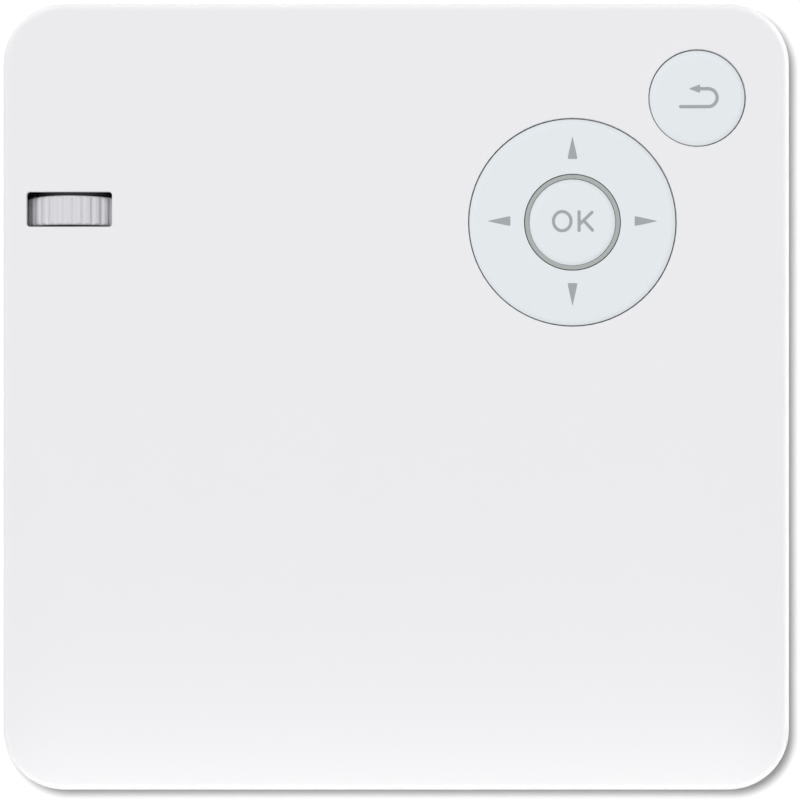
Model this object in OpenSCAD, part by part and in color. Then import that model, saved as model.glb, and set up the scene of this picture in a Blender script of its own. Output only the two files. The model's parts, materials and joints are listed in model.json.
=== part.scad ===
// Square pocket projector with a slim tray-loading disc drive under its light engine.
// Millimetres. +X is right, +Y is the front (the lens faces +Y) and +Z is up.
// The origin is the middle of the footprint, on the table.

/* [Case] */
// Width of the case, left to right
body_w = 146; // [144:1:156]
// Depth of the case, front to back
body_d = 146; // [144:1:156]
// Height of the case above the table, feet included
body_h = 41; // [41:1:48]
// Radius of the case's four upright corners
corner_r = 11.3; // [8:0.1:13]
// Rounding of the top and bottom edges
edge_r = 1.4; // [0.6:0.1:1.6]
// Thickness of the side walls
wall = 1.8; // [1.6:0.1:2.2]
// Thickness of the roof
roof_t = 2; // [1.6:0.1:2.2]
// Thickness of the floor
floor_t = 2; // [1.6:0.1:2.4]
// Height of the seam between the two covers
seam_z = 20.5; // [20.3:0.1:21]
// Shadow gap along the seam
seam_gap = 0.5; // [0.3:0.1:0.6]
// Height of the locating lip above the seam
lip_h = 2.2; // [1.5:0.1:2.2]
// Thickness of the locating lip
lip_t = 0.75; // [0.6:0.05:0.9]
// Width of the air slots
slot_w = 1.5; // [1:0.1:1.8]
// Spacing of the air slots
slot_pitch = 3.3; // [3:0.1:4.5]

/* [Fasteners and feet] */
// Height of the feet under the floor
foot_h = 1.5; // [1:0.1:2]
// Radius of a foot
foot_r = 6; // [4:0.5:7]
// Distance of a foot's centre from the sides
foot_inset = 15; // [15:0.5:16]
// Depth of a foot's recess in the floor
foot_sink = 0.8; // [0.4:0.1:1]
// Radius of a screw boss
boss_r = 3.2; // [3:0.1:3.3]
// Distance of the screw bosses from the front and back faces
boss_inset = 5.3; // [5.2:0.1:5.4]
// Radius of a case screw
screw_r = 1.2; // [1:0.1:1.4]
// Radius of a screw head
head_r = 2.3; // [1.9:0.1:2.4]
// Height of a screw head
head_h = 1.6; // [1.2:0.1:2]
// Length of a case screw under its head
screw_len = 21; // [18:0.5:24]
// Radius of the tripod thread
thread_r = 3.175; // [3.175:0.001:3.18]
// Radius of the tripod insert
insert_r = 4.5; // [4.2:0.1:5]
// Length of the tripod insert
insert_len = 5.5; // [4.5:0.1:6]

/* [Focus wheel and lens] */
// Width of the focus wheel
ring_w = 5.36; // [4.8:0.02:5.6]
// How far the wheel stands above the roof
ring_proud = 0.2; // [0:0.05:0.4]
// Number of grip flutes round the wheel
flutes = 36; // [24:1:40]
// Depth of a grip flute
flute_deep = 0.2; // [0.15:0.05:0.6]
// Distance of the lens axis from the left side
lens_inset = 12.5; // [12.3:0.1:14]
// Distance of the focus wheel from the front face
ring_inset = 38.39; // [36:0.01:40]
// Size of the wheel's window, left to right
window_w = 15.8; // [14.6:0.02:16]
// Size of the wheel's window, front to back
window_d = 6.44; // [6.2:0.01:6.8]
// Corner radius of the wheel's window
window_r = 0.6; // [0.4:0.1:1]
// How far the window reaches ahead of the wheel's middle plane
window_shift = 0.12; // [0:0.01:0.2]
// Half of the focus wheel's turn, in degrees
focus_turn = 60; // [40:5:60]
// Half of the lens cell's travel
focus_travel = 0.6; // [0.4:0.1:0.6]

/* [Keys] */
// Distance of the pad's centre from the right side
pad_from_right = 40.36; // [38:0.01:42]
// Distance of the pad's centre from the front face
pad_from_front = 40.67; // [38:0.01:42]
// Radius of the four-way pad
pad_r = 19.1; // [18:0.05:19.5]
// Radius of the OK key
ok_r = 8; // [7:0.05:8]
// Width of the grey ring round the OK key
ok_ring_w = 0.74; // [0.6:0.02:0.9]
// Distance of the return key's centre from the right side
return_from_right = 17.27; // [16.5:0.01:18]
// Distance of the return key's centre from the front face
return_from_front = 17.67; // [17:0.01:18]
// Radius of the return key
return_r = 8.81; // [8:0.01:9]
// Gap between the roof and a key
key_gap = 0.22; // [0.2:0.01:0.35]
// Travel of the OK and return keys
key_travel = 0.5; // [0.3:0.1:0.5]
// Tilt of the four-way pad to each side, in degrees
pad_tilt = 1.2; // [0.8:0.1:1.4]
// How far a key's top falls towards its edge
key_fall = 0.25; // [0.1:0.05:0.4]
// Width of that fall
key_slope = 1.1; // [0.6:0.1:1.5]

/* [Disc drive] */
// Room between the drive and the case's front, and its back
drive_room = 9; // [8.8:0.1:9]
// Room behind the drive, at the left
drive_behind = 17; // [16.5:0.1:17.4]
// Height of the drive
drive_h = 9.5; // [9.5:0.1:9.8]
// Height of the drive's underside
drive_z = 8.5; // [8.3:0.1:8.6]
// Thickness of the drive's sheet metal
sheet = 0.6; // [0.5:0.05:0.7]
// Thickness of the tray's bezel
bezel_t = 2; // [1.8:0.1:2.2]
// Gap between the tray's bezel and the case
bezel_gap = 0.4; // [0.2:0.1:0.5]
// Radius of the discs
disc_r = 60; // [40:20:60]
// Radius of the turntable
table_r = 13; // [11:0.5:13]
// Radius of the turntable's nose, which centres the disc
nose_r = 7.3; // [7.2:0.05:7.4]
// Radius of the spindle's shaft
shaft_r = 1; // [0.8:0.1:1.2]
// Direction of the pickup's path, in degrees from +X
sled_dir = -45; // [-47:1:-43]
// Distance of the lens from the spindle at the start of its path
sled_start = 24; // [24:0.5:26]
// Radius of the guide rods
rod_r = 1; // [0.8:0.05:1]
// Radius of the lead screw
lead_r = 1.1; // [0.9:0.05:1.1]

/* [Light engine and cooling] */
// Length of the engine housing, left to right
engine_w = 50; // [48:1:52]
// Depth of the engine housing, front to back
engine_d = 27; // [26:1:27]
// Number of the blower wheel's blades
blades = 24; // [15:1:28]
// Spacing of the cooling fins
fin_pitch = 2.4; // [2:0.1:2.4]
// Radius of the heat pipe
pipe_r = 1.6; // [1.4:0.1:1.8]

/* [Electronics] */
// Thickness of the circuit boards
board_t = 1.2; // [1:0.1:1.6]
// Room between the battery pack and the key board above it
battery_room = 1.3; // [0.8:0.1:3]

/* [Hidden] */
$fn = 64;

// Clearances: a running fit, a gap between parts that are seated, and an overlap for cuts
run_gap = 0.06;
fit_gap = 0.15;
cut = 1;

// Case
hw = body_w / 2;
hd = body_d / 2;
floor_z = foot_h + floor_t;
roof_z = body_h - roof_t;
cover_z = seam_z + seam_gap;
boss_y = hd - boss_inset;
boss_x = [-hw + 26, hw - 13];
boss_top = drive_z + drive_h + 0.5;
plate_t = 0.8;
deck_z = boss_top + plate_t;
head_seat = floor_z + 2.5;
slot_z = (cover_z + roof_z) / 2;
slot_h = (roof_z - cover_z) * 2 / 3;
intake_n = floor((hd - foot_inset - foot_r - 3) / slot_pitch);

// Lens and focus wheel
lens_x = -hw + lens_inset;
ring_r = min((body_h + ring_proud - deck_z - 1.9) / 2, lens_inset - wall - 0.7);
barrel_r = ring_r - 2.5;
barrel_bore_r = barrel_r - 1;
glass_r = barrel_bore_r - 0.8;
lens_ring_r = barrel_r + 0.2;
lens_z = body_h + ring_proud - ring_r;
ring_y = hd - ring_inset;
barrel_front = hd - 7;
cell_front = hd - 5;
flange_hw = 9;
flange_hh = ring_r - 2.6;
pin_r = 0.75;
seat_deep = 3;
rear_deep = 2.4;
seat_sag = 0.08;
bulge = glass_r / 19;
clip_t = 0.6;
relief = 1.3;

// Engine
engine_x0 = -hw + 3;
engine_x1 = engine_x0 + engine_w;
engine_y1 = ring_y - 10.9;
engine_y0 = engine_y1 - engine_d;
engine_top = roof_z - 0.7;
engine_wall = 1.6;
barrel_back = engine_y1;
prism_y = engine_y0 + 12.5;
cell_back = barrel_back + 3;
engine_floor = deck_z + 2;
prism_s = 2 * ring_r - 7;
chip_t = 2.4;
chip_h = 2 * ring_r - 8;
sink_d = 6;
sink_top = roof_z - 5.2;
green_x = engine_x0 + 28;
blue_x = engine_x0 + 39;
mirror_x = [green_x, blue_x];
coll_r = 4.2;
relay_x = engine_x0 + 20;
relay_r = ring_r - 4.5;

// Keys
pad_x = hw - pad_from_right;
pad_y = hd - pad_from_front;
return_x = hw - return_from_right;
return_y = hd - return_from_front;
key_board_z = roof_z - 4.4;
key_board_t = 1;
key_deck = key_board_z + key_board_t;
switch_top = key_deck + 0.7;
pip_z = switch_top + key_travel + 0.1;
pip_r = 1.2;
ring_in = ok_r + run_gap;
ring_out = ring_in + ok_ring_w;
bore_gap = 0.16;
pad_bore = ring_out + bore_gap;
pad_flange_t = 0.6;
pad_flange_w = 1.2;
pad_lift = (pad_r + pad_flange_w) * sin(pad_tilt * sqrt(2)) + 0.1;
pad_base = roof_z - pad_flange_t - pad_lift;
skirt_r = ring_out + 0.38;
ledge_z = key_deck + 1.3;
rock_r = skirt_r + 2.1;
rocker_r = 0.35;
pip_ring = pad_r - 4.2;
pad_pip_z = switch_top + (pip_ring + pip_r) * sin(pad_tilt) + 0.1;
kb_x0 = pad_x - pad_r - 3;
kb_x1 = return_x + 12;
kb_y0 = pad_y - pad_r - 3;
kb_y1 = return_y + 9.1;
peg_r = 1.5;
peg_places = [[kb_x0 + 3, kb_y0 + 3], [kb_x1 - 3, kb_y0 + 3], [kb_x0 + 3, kb_y1 - 3],
  [kb_x1 - 3, pad_y + 8], [pad_x + 7, kb_y1 - 2.8]];
switch_places = concat([for (a = [0 : 90 : 270]) [pad_x + pip_ring * cos(a), pad_y + pip_ring * sin(a)]],
  [[pad_x, pad_y], [return_x, return_y]]);

// Disc drive
drive_w = body_d - 2 * drive_room;
drive_len = body_w - drive_behind;
drive_back = hw - drive_len;
pan_front = hw - bezel_t - 0.4;
pan_top = drive_z + drive_h - sheet;
tray_x0 = drive_back + sheet + 0.9;
tray_x1 = hw - bezel_t;
well_r = min(disc_r + 0.8, drive_w / 2 - 3.2, (tray_x1 - tray_x0 - 3.9) / 2);
tray_hw = well_r + 0.6;
spindle_x = tray_x1 - 1.2 - well_r;
well_z = drive_z + 4.1;
tray_under = well_z - 1.2;
tray_skin = 1;
rim_z = drive_z + 7.1;
skirt_z = drive_z + sheet + 0.3;
rail_out = drive_w / 2 - sheet - 0.2;
rail_t = 0.5;
rail_z0 = drive_z + 1.3;
rail_h = 5.4;
rail_x0 = drive_back + 6;
rail_x1 = tray_x1 - 9;
rod_z = drive_z + 2.05;
rod_v = 10.2;
lead_z = drive_z + 2;
lead_v = -14.2;
frame_z = well_z - 0.9;
frame_t = 0.6;
motor_r = 11.9;
sled_end = well_r - 2.8;
sled_half = 8.5;
rod_u0 = sled_start - sled_half - 2.5;
rod_u1 = sled_end + sled_half + 2;
key_hole_y = 38;
key_hole_z = drive_z + 2.2;
key_l = 7;
key_h = 2;
latch_x = drive_back + 17.5;
latch_y = -37;
latch_z = drive_z + 1.1;
latch_pin = [latch_x - 10.8, latch_y - 7];
drive_posts = [for (x = [drive_back + 14, drive_back + 38], y = [-20, 30]) [x, y]];

// Blower and fins
blower_s = min(body_w, body_d) - 96;
blower_h = roof_z - deck_z - 4.7;
blower_x = engine_x0 + 13 + blower_s / 2;
blower_y = engine_y0 - 9 - blower_s / 2;
blower_top = deck_z + blower_h;
wheel_r = blower_s / 2 - 5;
hub_r = wheel_r / 2;
fins = floor((2 * wheel_r - 6) / fin_pitch) + 1;
fin_x0 = -hw + wall + 0.6;
fin_x1 = blower_x - blower_s / 2 - 0.6;
fin_y0 = blower_y - wheel_r - 3;
fin_top = sink_top;
pipe_z = sink_top + pipe_r;
pipe_x = fin_x0 + 6.6;
pipe_y = engine_y0 - chip_t - sink_d / 2 - 0.2;
pipe_x2 = engine_x1 + 4;
pipe_bend = 6;

// Electronics
board_z = deck_z + 4;
board_top = board_z + board_t;
board_y0 = -hd + wall + 0.3;
board_y1 = board_y0 + hd + 1;
board_x0 = blower_x + blower_s / 2 + 3;
board_x1 = hw - wall - 0.8;
standoffs = [for (x = [board_x0 + 4.5, board_x1 - 4], y = [board_y0 + 12, board_y1 - 5]) [x, y]];
hdmi_x = board_x0 + 15;
usb_x = hdmi_x + 18;
audio_x = usb_x + 13;
jack_x = audio_x + 10;
power_x = board_x0 - 4;
power_z = board_top + 3;
hdmi_z = board_top + 2.9;
usb_z = board_top + 3.4;
audio_z = board_top + 3;
jack_z = board_top + 4;
power_travel = 2.5;
hdmi_w = 15;
hdmi_h = 5.6;
usb_w = 13.4;
usb_h = 6;
audio_r = 2.9;
audio_bore = 1.8;
jack_r = 3.4;
jack_bore = 2.8;
power_w = 4;
power_h = 2.6;
socket_y = -hd + 0.8;
battery_x0 = board_x0 + 9;
battery_x1 = hw - 10;
battery_y0 = board_y1 + 5;
battery_y1 = hd - 18.9;
battery_top = key_board_z - battery_room;
speaker_w = 36;
speaker_h = roof_z - deck_z - 7.7;

// ---- Shapes that repeat ----

// A rounded rectangle, centred
module round_rect(w, d, r)
{
  square([w - 2 * r, d], center = true);
  square([w, d - 2 * r], center = true);
  for (sx = [-1, 1], sy = [-1, 1])
    translate([sx * (w / 2 - r), sy * (d / 2 - r)])
      circle(r);
}

// The outline of the case, drawn in by a distance
module case_outline(inset = 0)
{
  round_rect(body_w - 2 * inset, body_d - 2 * inset, corner_r - inset);
}

// A quarter of a disc
module quarter(r)
{
  intersection() {
    circle(r);
    square(r);
  }
}

// The sliver between a sharp edge and its rounding, with some room outside
module edge_trim(e)
{
  difference() {
    square(e + cut);
    circle(e);
  }
}

// A rounded slab whose upper edge is rounded too
module soft_slab(w, d, h, r, e)
{
  difference() {
    linear_extrude(h)
      round_rect(w, d, r);
    translate([0, 0, h - e]) {
      for (a = [0, 180])
        rotate([0, 0, a]) {
          translate([w / 2 - e, d / 2 + cut, 0])
            rotate([90, 0, 0])
              linear_extrude(d + 2 * cut)
                edge_trim(e);
          translate([-w / 2 - cut, d / 2 - e, 0])
            rotate([90, 0, 90])
              linear_extrude(w + 2 * cut)
                edge_trim(e);
        }
      for (q = [0 : 3])
        rotate([0, 0, 90 * q])
          translate([(q % 2 == 0 ? w : d) / 2 - r, (q % 2 == 0 ? d : w) / 2 - r, 0])
            rotate_extrude(angle = 90)
              translate([r - e, 0])
                edge_trim(e);
    }
  }
}

// A round pad whose upper edge is rounded
module soft_disc(r, h, e)
{
  cylinder(r = r, h = h - e);
  translate([0, 0, h - e])
    rotate_extrude() {
      square([r - e, e]);
      translate([r - e, 0])
        quarter(e);
    }
}

// A round key blank whose top falls away towards its edge
module key_blank(r, h)
{
  arc_r = (key_slope * key_slope + key_fall * key_fall) / (2 * key_fall);
  cylinder(r = r, h = h - key_fall);
  translate([0, 0, h - key_fall])
    rotate_extrude() {
      square([r - key_slope, key_fall]);
      intersection() {
        translate([r - key_slope, key_fall - arc_r])
          circle(arc_r, $fn = 96);
        translate([r - key_slope, 0])
          square([key_slope, key_fall]);
      }
    }
}

// A slot with round ends, its length along Y
module stadium(l, w)
{
  square([w, l - w], center = true);
  for (s = [-1, 1])
    translate([0, s * (l - w) / 2])
      circle(w / 2, $fn = 24);
}

module tube(ro, ri, h)
{
  difference() {
    cylinder(r = ro, h = h);
    translate([0, 0, -cut])
      cylinder(r = ri, h = h + 2 * cut);
  }
}

// A round glass with a flat rim and two bulging faces, its rim from z = 0
module glass(r, rim, bulge_up, bulge_down)
{
  up_r = (r * r + bulge_up * bulge_up) / (2 * bulge_up);
  down_r = (r * r + bulge_down * bulge_down) / (2 * bulge_down);
  rotate_extrude()
    intersection() {
      translate([0, -bulge_down])
        square([r, rim + bulge_up + bulge_down]);
      translate([0, rim + bulge_up - up_r])
        circle(up_r, $fn = 200);
      translate([0, down_r - bulge_down])
        circle(down_r, $fn = 200);
    }
}

// Places children at each screw boss
module at_bosses()
{
  for (x = boss_x, sy = [-1, 1])
    translate([x, sy * boss_y, 0])
      children();
}

module at_feet()
{
  for (sx = [-1, 1], sy = [-1, 1])
    translate([sx * (hw - foot_inset), sy * (hd - foot_inset), 0])
      children();
}

// Places children on the lens axis, with their z along +Y and y down
module on_lens(y)
{
  translate([lens_x, y, lens_z])
    rotate([-90, 0, 0])
      children();
}

// The pickup's frame: x runs out from the spindle along its path
module on_path()
{
  translate([spindle_x, 0, 0])
    rotate([0, 0, sled_dir])
      children();
}

// ---- Case ----

module front_slots()
{
  n = floor((hw - 14 - (boss_x[0] + 6)) / slot_pitch);
  for (i = [0 : n])
    translate([boss_x[0] + 6 + i * slot_pitch, hd, slot_z])
      rotate([90, 0, 0])
        linear_extrude(4 * wall, center = true)
          stadium(slot_h, slot_w);
}

module exhaust_slots()
{
  n = floor((fins - 1) * fin_pitch / slot_pitch);
  for (i = [0 : n])
    translate([-hw, fin_y0 + i * slot_pitch, slot_z - slot_h / 6])
      rotate([90, 0, 90])
        linear_extrude(4 * wall, center = true)
          stadium(slot_h, slot_w);
}

// The openings of the back wall, each a little larger than what shows through it
module back_ports()
{
  rim = 0.4;
  translate([0, -hd + 2 * wall, 0])
    rotate([90, 0, 0])
      linear_extrude(4 * wall) {
        translate([hdmi_x, hdmi_z])
          round_rect(hdmi_w + 2 * rim, hdmi_h + 2 * rim, 0.8);
        translate([usb_x, usb_z])
          round_rect(usb_w + 2 * rim, usb_h + 2 * rim, 0.6);
        translate([audio_x, audio_z])
          circle(audio_r + rim);
        translate([jack_x, jack_z])
          circle(jack_r + rim);
        translate([power_x, power_z])
          round_rect(power_w + power_travel + 2 * rim, power_h + 2 * rim, 0.6);
      }
}

module top_cover()
{
  post_r = boss_r - 0.3;
  color([0.93, 0.93, 0.94])
    difference() {
      union() {
        difference() {
          translate([0, 0, cover_z])
            soft_slab(body_w, body_d, body_h - cover_z, corner_r, edge_r);
          translate([0, 0, cover_z - cut])
            linear_extrude(roof_z - cover_z + cut)
              case_outline(wall);
          // Rebate for the lower cover's lip
          translate([0, 0, cover_z - cut])
            linear_extrude(lip_h - seam_gap + fit_gap + cut)
              case_outline(wall - lip_t - fit_gap);
        }
        at_bosses()
          translate([0, 0, deck_z])
            cylinder(r = post_r, h = roof_z - deck_z + roof_t / 2);
        // Pegs with shoulders that hold the key board
        for (p = peg_places)
          translate([p[0], p[1], 0]) {
            translate([0, 0, key_deck])
              cylinder(r = peg_r + 1, h = roof_z - key_deck + roof_t / 2);
            translate([0, 0, key_board_z - 0.5])
              cylinder(r = peg_r, h = roof_z - key_board_z + 0.5);
          }
        // Stiffening ribs under the roof, clear of the lens and the keys
        for (y = [blower_y - 14, blower_y + 14])
          translate([-hw + wall / 2, y, roof_z - 1.2])
            cube([body_w - wall, 1.2, 1.2 + roof_t / 2]);
      }
      at_bosses()
        translate([0, 0, deck_z - cut])
          cylinder(r = screw_r + 0.05, h = head_seat + screw_len - deck_z + cut + 1);
      // Window of the focus wheel
      translate([lens_x, ring_y + window_shift, roof_z - cut])
        linear_extrude(roof_t + 2 * cut)
          round_rect(window_w, window_d, window_r);
      // Relief in the roof over the wheel's shoulder and clip
      translate([lens_x - flange_hw, ring_y - ring_w / 2 - 2.4, roof_z - cut])
        cube([2 * flange_hw, ring_w + 4.8, cut + relief]);
      translate([pad_x, pad_y, roof_z - cut])
        cylinder(r = pad_r + key_gap, h = roof_t + 2 * cut);
      translate([return_x, return_y, roof_z - cut])
        cylinder(r = return_r + key_gap, h = roof_t + 2 * cut);
      on_lens(hd - 3 * corner_r / 4)
        cylinder(r = lens_ring_r + 0.05, h = corner_r);
      front_slots();
      exhaust_slots();
      back_ports();
    }
}

module bottom_cover()
{
  rib = 1.2;
  drive_side = drive_w / 2 + 0.3;
  window_hw = drive_w / 2 + bezel_gap;
  color([0.91, 0.91, 0.92])
    difference() {
      union() {
        difference() {
          translate([0, 0, seam_z])
            mirror([0, 0, 1])
              soft_slab(body_w, body_d, seam_z - foot_h, corner_r, edge_r);
          translate([0, 0, floor_z])
            linear_extrude(seam_z)
              case_outline(wall);
        }
        // Locating lip
        translate([0, 0, seam_z])
          linear_extrude(lip_h)
            difference() {
              case_outline(wall - lip_t);
              case_outline(wall);
            }
        // Screw bosses, each tied to its wall
        for (x = boss_x, s = [-1, 1]) {
          translate([x, s * boss_y, foot_h + floor_t / 2])
            cylinder(r = boss_r, h = boss_top - foot_h - floor_t / 2);
          translate([x - rib / 2, s * (hd - wall) - (s > 0 ? 1 : wall / 2), floor_z - cut])
            cube([rib, 1 + wall / 2, boss_top - floor_z]);
        }
        // Ribs under the drive
        for (y = [-40, 40])
          translate([drive_back - 1, y - rib / 2, floor_z - cut])
            cube([pan_front - drive_back, rib, drive_z - floor_z + cut]);
        for (x = [drive_back + 22, hw - 53])
          translate([x, -52, floor_z - cut])
            cube([rib, 104, drive_z - floor_z + cut]);
        // Boss of the tripod insert
        translate([0, 0, foot_h + floor_t / 2])
          cylinder(r = insert_r + 2.5, h = drive_z - foot_h - floor_t / 2 - 0.2);
        // Wall behind the drive, and posts for the deck beside it
        translate([drive_back - 2, -hd + 14, floor_z - cut])
          cube([rib, body_d - 28, boss_top - floor_z - 1]);
        for (s = [-1, 1])
          translate([-hw + 9, s * (hd - 22.5), floor_z - cut])
            cylinder(r = 2.6, h = boss_top - floor_z + cut);
        // Stops along the drive's two sides
        for (x = [-30, 10], s = [-1, 1])
          translate([x, s > 0 ? drive_side : -hd + wall / 2, floor_z - cut])
            cube([rib, hd - wall / 2 - drive_side, drive_z + 6 - floor_z]);
      }
      // Window of the tray, cut through the right wall
      translate([hw - wall - 2.5, -window_hw, drive_z - bezel_gap])
        cube([wall + 5, 2 * window_hw, drive_h + 2 * bezel_gap]);
      // Screw holes, with the heads sunk in the floor
      at_bosses() {
        translate([0, 0, foot_h - cut])
          cylinder(r = head_r + 0.3, h = head_seat - foot_h + cut);
        cylinder(r = screw_r + 0.3, h = seam_z);
      }
      translate([0, 0, foot_h - cut])
        cylinder(r = insert_r, h = insert_len + cut);
      at_feet()
        translate([0, 0, foot_h - cut])
          cylinder(r = foot_r + 0.05, h = foot_sink + cut);
      // Air intake beside the drive
      for (i = [-intake_n : intake_n])
        translate([-hw + 9, i * slot_pitch, 0])
          linear_extrude(floor_z + cut)
            rotate([0, 0, 90])
              stadium(8, slot_w);
    }
}

module case_screws()
{
  color([0.45, 0.45, 0.47])
    at_bosses() {
      translate([0, 0, head_seat - 0.01])
        cylinder(r = screw_r, h = screw_len);
      translate([0, 0, head_seat - head_h])
        difference() {
          cylinder(r = head_r, h = head_h);
          for (a = [0, 90])
            rotate([0, 0, a])
              cube([2.6, 0.6, 1.6], center = true);
        }
    }
}

module rubber_feet()
{
  color([0.16, 0.16, 0.17])
    at_feet()
      translate([0, 0, foot_h + foot_sink])
        mirror([0, 0, 1])
          soft_disc(foot_r, foot_h + foot_sink, 0.4);
}

module tripod_insert()
{
  color([0.8, 0.65, 0.3])
    translate([0, 0, foot_h])
      difference() {
        cylinder(r = insert_r, h = insert_len);
        translate([0, 0, -cut])
          cylinder(r = thread_r, h = insert_len - 0.5 + cut);
      }
}

// ---- Lens and focus wheel ----

module lens_bezel()
{
  trim = 0.3;
  depth = 3.9;
  color([0.1, 0.1, 0.11])
    difference() {
      union() {
        intersection() {
          on_lens(hd - depth)
            cylinder(r = lens_ring_r, h = depth + cut);
          translate([0, 0, cover_z])
            linear_extrude(body_h)
              case_outline(trim);
        }
        // Flange behind the wall
        intersection() {
          translate([lens_x - flange_hw, hd - depth, lens_z - flange_hh])
            cube([2 * flange_hw, depth, 2 * flange_hh]);
          translate([0, 0, cover_z])
            linear_extrude(body_h)
              case_outline(wall + 0.02);
        }
      }
      on_lens(hd - depth - cut)
        cylinder(r = glass_r + 0.3, h = depth + 2 * cut);
      on_lens(hd - 2.4)
        cylinder(r1 = glass_r + 0.3, r2 = lens_ring_r - 0.3, h = 2.4);
      on_lens(hd - 0.001)
        cylinder(r = lens_ring_r - 0.3, h = cut);
    }
}

module lens_barrel()
{
  slot_half = focus_turn + 9;
  slot_len = 2 * (focus_travel + pin_r) + 0.5;
  color([0.13, 0.13, 0.14])
    difference() {
      union() {
        on_lens(barrel_back)
          cylinder(r = barrel_r, h = barrel_front - barrel_back);
        translate([lens_x - flange_hw, barrel_back, lens_z - flange_hh])
          cube([2 * flange_hw, 2, 2 * flange_hh]);
        // Shoulder behind the focus wheel
        on_lens(ring_y - ring_w / 2 - 0.3 - 1.2)
          cylinder(r = barrel_r + 0.9, h = 1.2);
      }
      on_lens(barrel_back - cut)
        cylinder(r = barrel_bore_r, h = barrel_front - barrel_back + 2 * cut);
      // Slot that lets the lens cell's pin reach the focus wheel
      on_lens(ring_y - slot_len / 2)
        rotate([0, 0, 90 - slot_half])
          rotate_extrude(angle = 2 * slot_half)
            translate([barrel_bore_r - 1, 0])
              square([barrel_r - barrel_bore_r + 2, slot_len]);
      // Groove of the retaining clip
      on_lens(ring_y + ring_w / 2 + 0.3)
        tube(barrel_r + 1, barrel_r - 0.3, clip_t + 0.05);
    }
}

module focus_clip()
{
  open_half = 28;
  color([0.7, 0.7, 0.72])
    on_lens(ring_y + ring_w / 2 + 0.3)
      rotate([0, 0, 90 + open_half])
        rotate_extrude(angle = 360 - 2 * open_half)
          translate([barrel_r - 0.28, 0])
            square([1.2, clip_t]);
}

module focus_ring()
{
  chamfer = 0.3;
  flute_r = 0.7;
  color([0.8, 0.8, 0.82])
    on_lens(ring_y - ring_w / 2)
      difference() {
        rotate_extrude()
          polygon([[barrel_r + run_gap, 0], [ring_r - chamfer, 0], [ring_r, chamfer],
            [ring_r, ring_w - chamfer], [ring_r - chamfer, ring_w], [barrel_r + run_gap, ring_w]]);
        for (i = [0 : flutes - 1])
          rotate([0, 0, 360 * (i + 0.5) / flutes])
            translate([ring_r + flute_r - flute_deep, 0, -cut])
              cylinder(r = flute_r, h = ring_w + 2 * cut, $fn = 24);
        // Keyway for the lens cell's pin
        translate([-pin_r - 0.05, 0, -cut])
          cube([2 * pin_r + 0.1, barrel_r + 1.35, ring_w + 2 * cut]);
      }
}

module lens_cell()
{
  cell_r = barrel_bore_r - run_gap;
  len = cell_front - cell_back;
  color([0.2, 0.2, 0.22])
    union() {
      on_lens(cell_back)
        difference() {
          cylinder(r = cell_r, h = len);
          translate([0, 0, -cut])
            cylinder(r = glass_r - 0.8, h = len + 2 * cut);
          translate([0, 0, len - seat_deep])
            cylinder(r = glass_r, h = seat_deep + cut);
          translate([0, 0, -cut])
            cylinder(r = glass_r, h = rear_deep + cut);
        }
      // Pin that rides in the focus wheel's keyway
      translate([lens_x, ring_y, lens_z - barrel_r - 1.1])
        cylinder(r = pin_r, h = barrel_r + 1.1 - glass_r);
    }
}

module front_lens()
{
  color([0.55, 0.6, 0.75, 0.5])
    on_lens(cell_front - seat_deep + seat_sag)
      glass(glass_r - 0.02, 1.6, 4 * bulge, bulge);
}

module rear_lens()
{
  color([0.6, 0.65, 0.75, 0.5])
    on_lens(cell_back + rear_deep - 1.5 - seat_sag)
      glass(glass_r - 0.02, 1.5, bulge, 0.5);
}

// ---- Keys ----

module direction_pad()
{
  color([0.9, 0.91, 0.92])
    translate([pad_x, pad_y, 0])
      difference() {
        union() {
          translate([0, 0, pad_base])
            key_blank(pad_r, body_h - pad_base);
          translate([0, 0, pad_base])
            cylinder(r = pad_r + pad_flange_w, h = pad_flange_t);
        }
        translate([0, 0, pad_base - cut])
          cylinder(r = pad_bore, h = body_h);
        // Hollow underside, left with four pips over the switches
        difference() {
          translate([0, 0, pad_base - cut])
            tube(pad_r - 1.2, pad_bore + 3.5, body_h - 1.4 - pad_base + cut);
          for (a = [0 : 90 : 270])
            rotate([0, 0, a])
              translate([pip_ring, 0, pad_base - 2 * cut])
                cylinder(r = pip_r, h = body_h);
        }
      }
  color([0.9, 0.91, 0.92])
    for (a = [0 : 90 : 270])
      translate([pad_x, pad_y, pad_pip_z])
        rotate([0, 0, a])
          translate([pip_ring, 0, 0])
            cylinder(r = pip_r, h = body_h - 1 - pad_pip_z);
}

// A ridge along X with a round top, between two heights
module rocker(z0, z1)
{
  translate([-1, -rocker_r, z0])
    cube([2, 2 * rocker_r, z1 - rocker_r - z0]);
  translate([-1, 0, z1 - rocker_r])
    rotate([0, 90, 0])
      cylinder(r = rocker_r, h = 2);
}

module pad_carrier()
{
  base = switch_top + 0.1;
  color([0.7, 0.7, 0.72])
    translate([pad_x, pad_y, 0]) {
      translate([0, 0, base])
        tube(skirt_r + 4.1, skirt_r + 0.4, 0.7);
      // Ridges on which the pad rocks
      for (s = [-1, 1])
        translate([s * rock_r, 0, 0])
          rocker(base + 0.35, pad_base - 0.1);
    }
}

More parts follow.
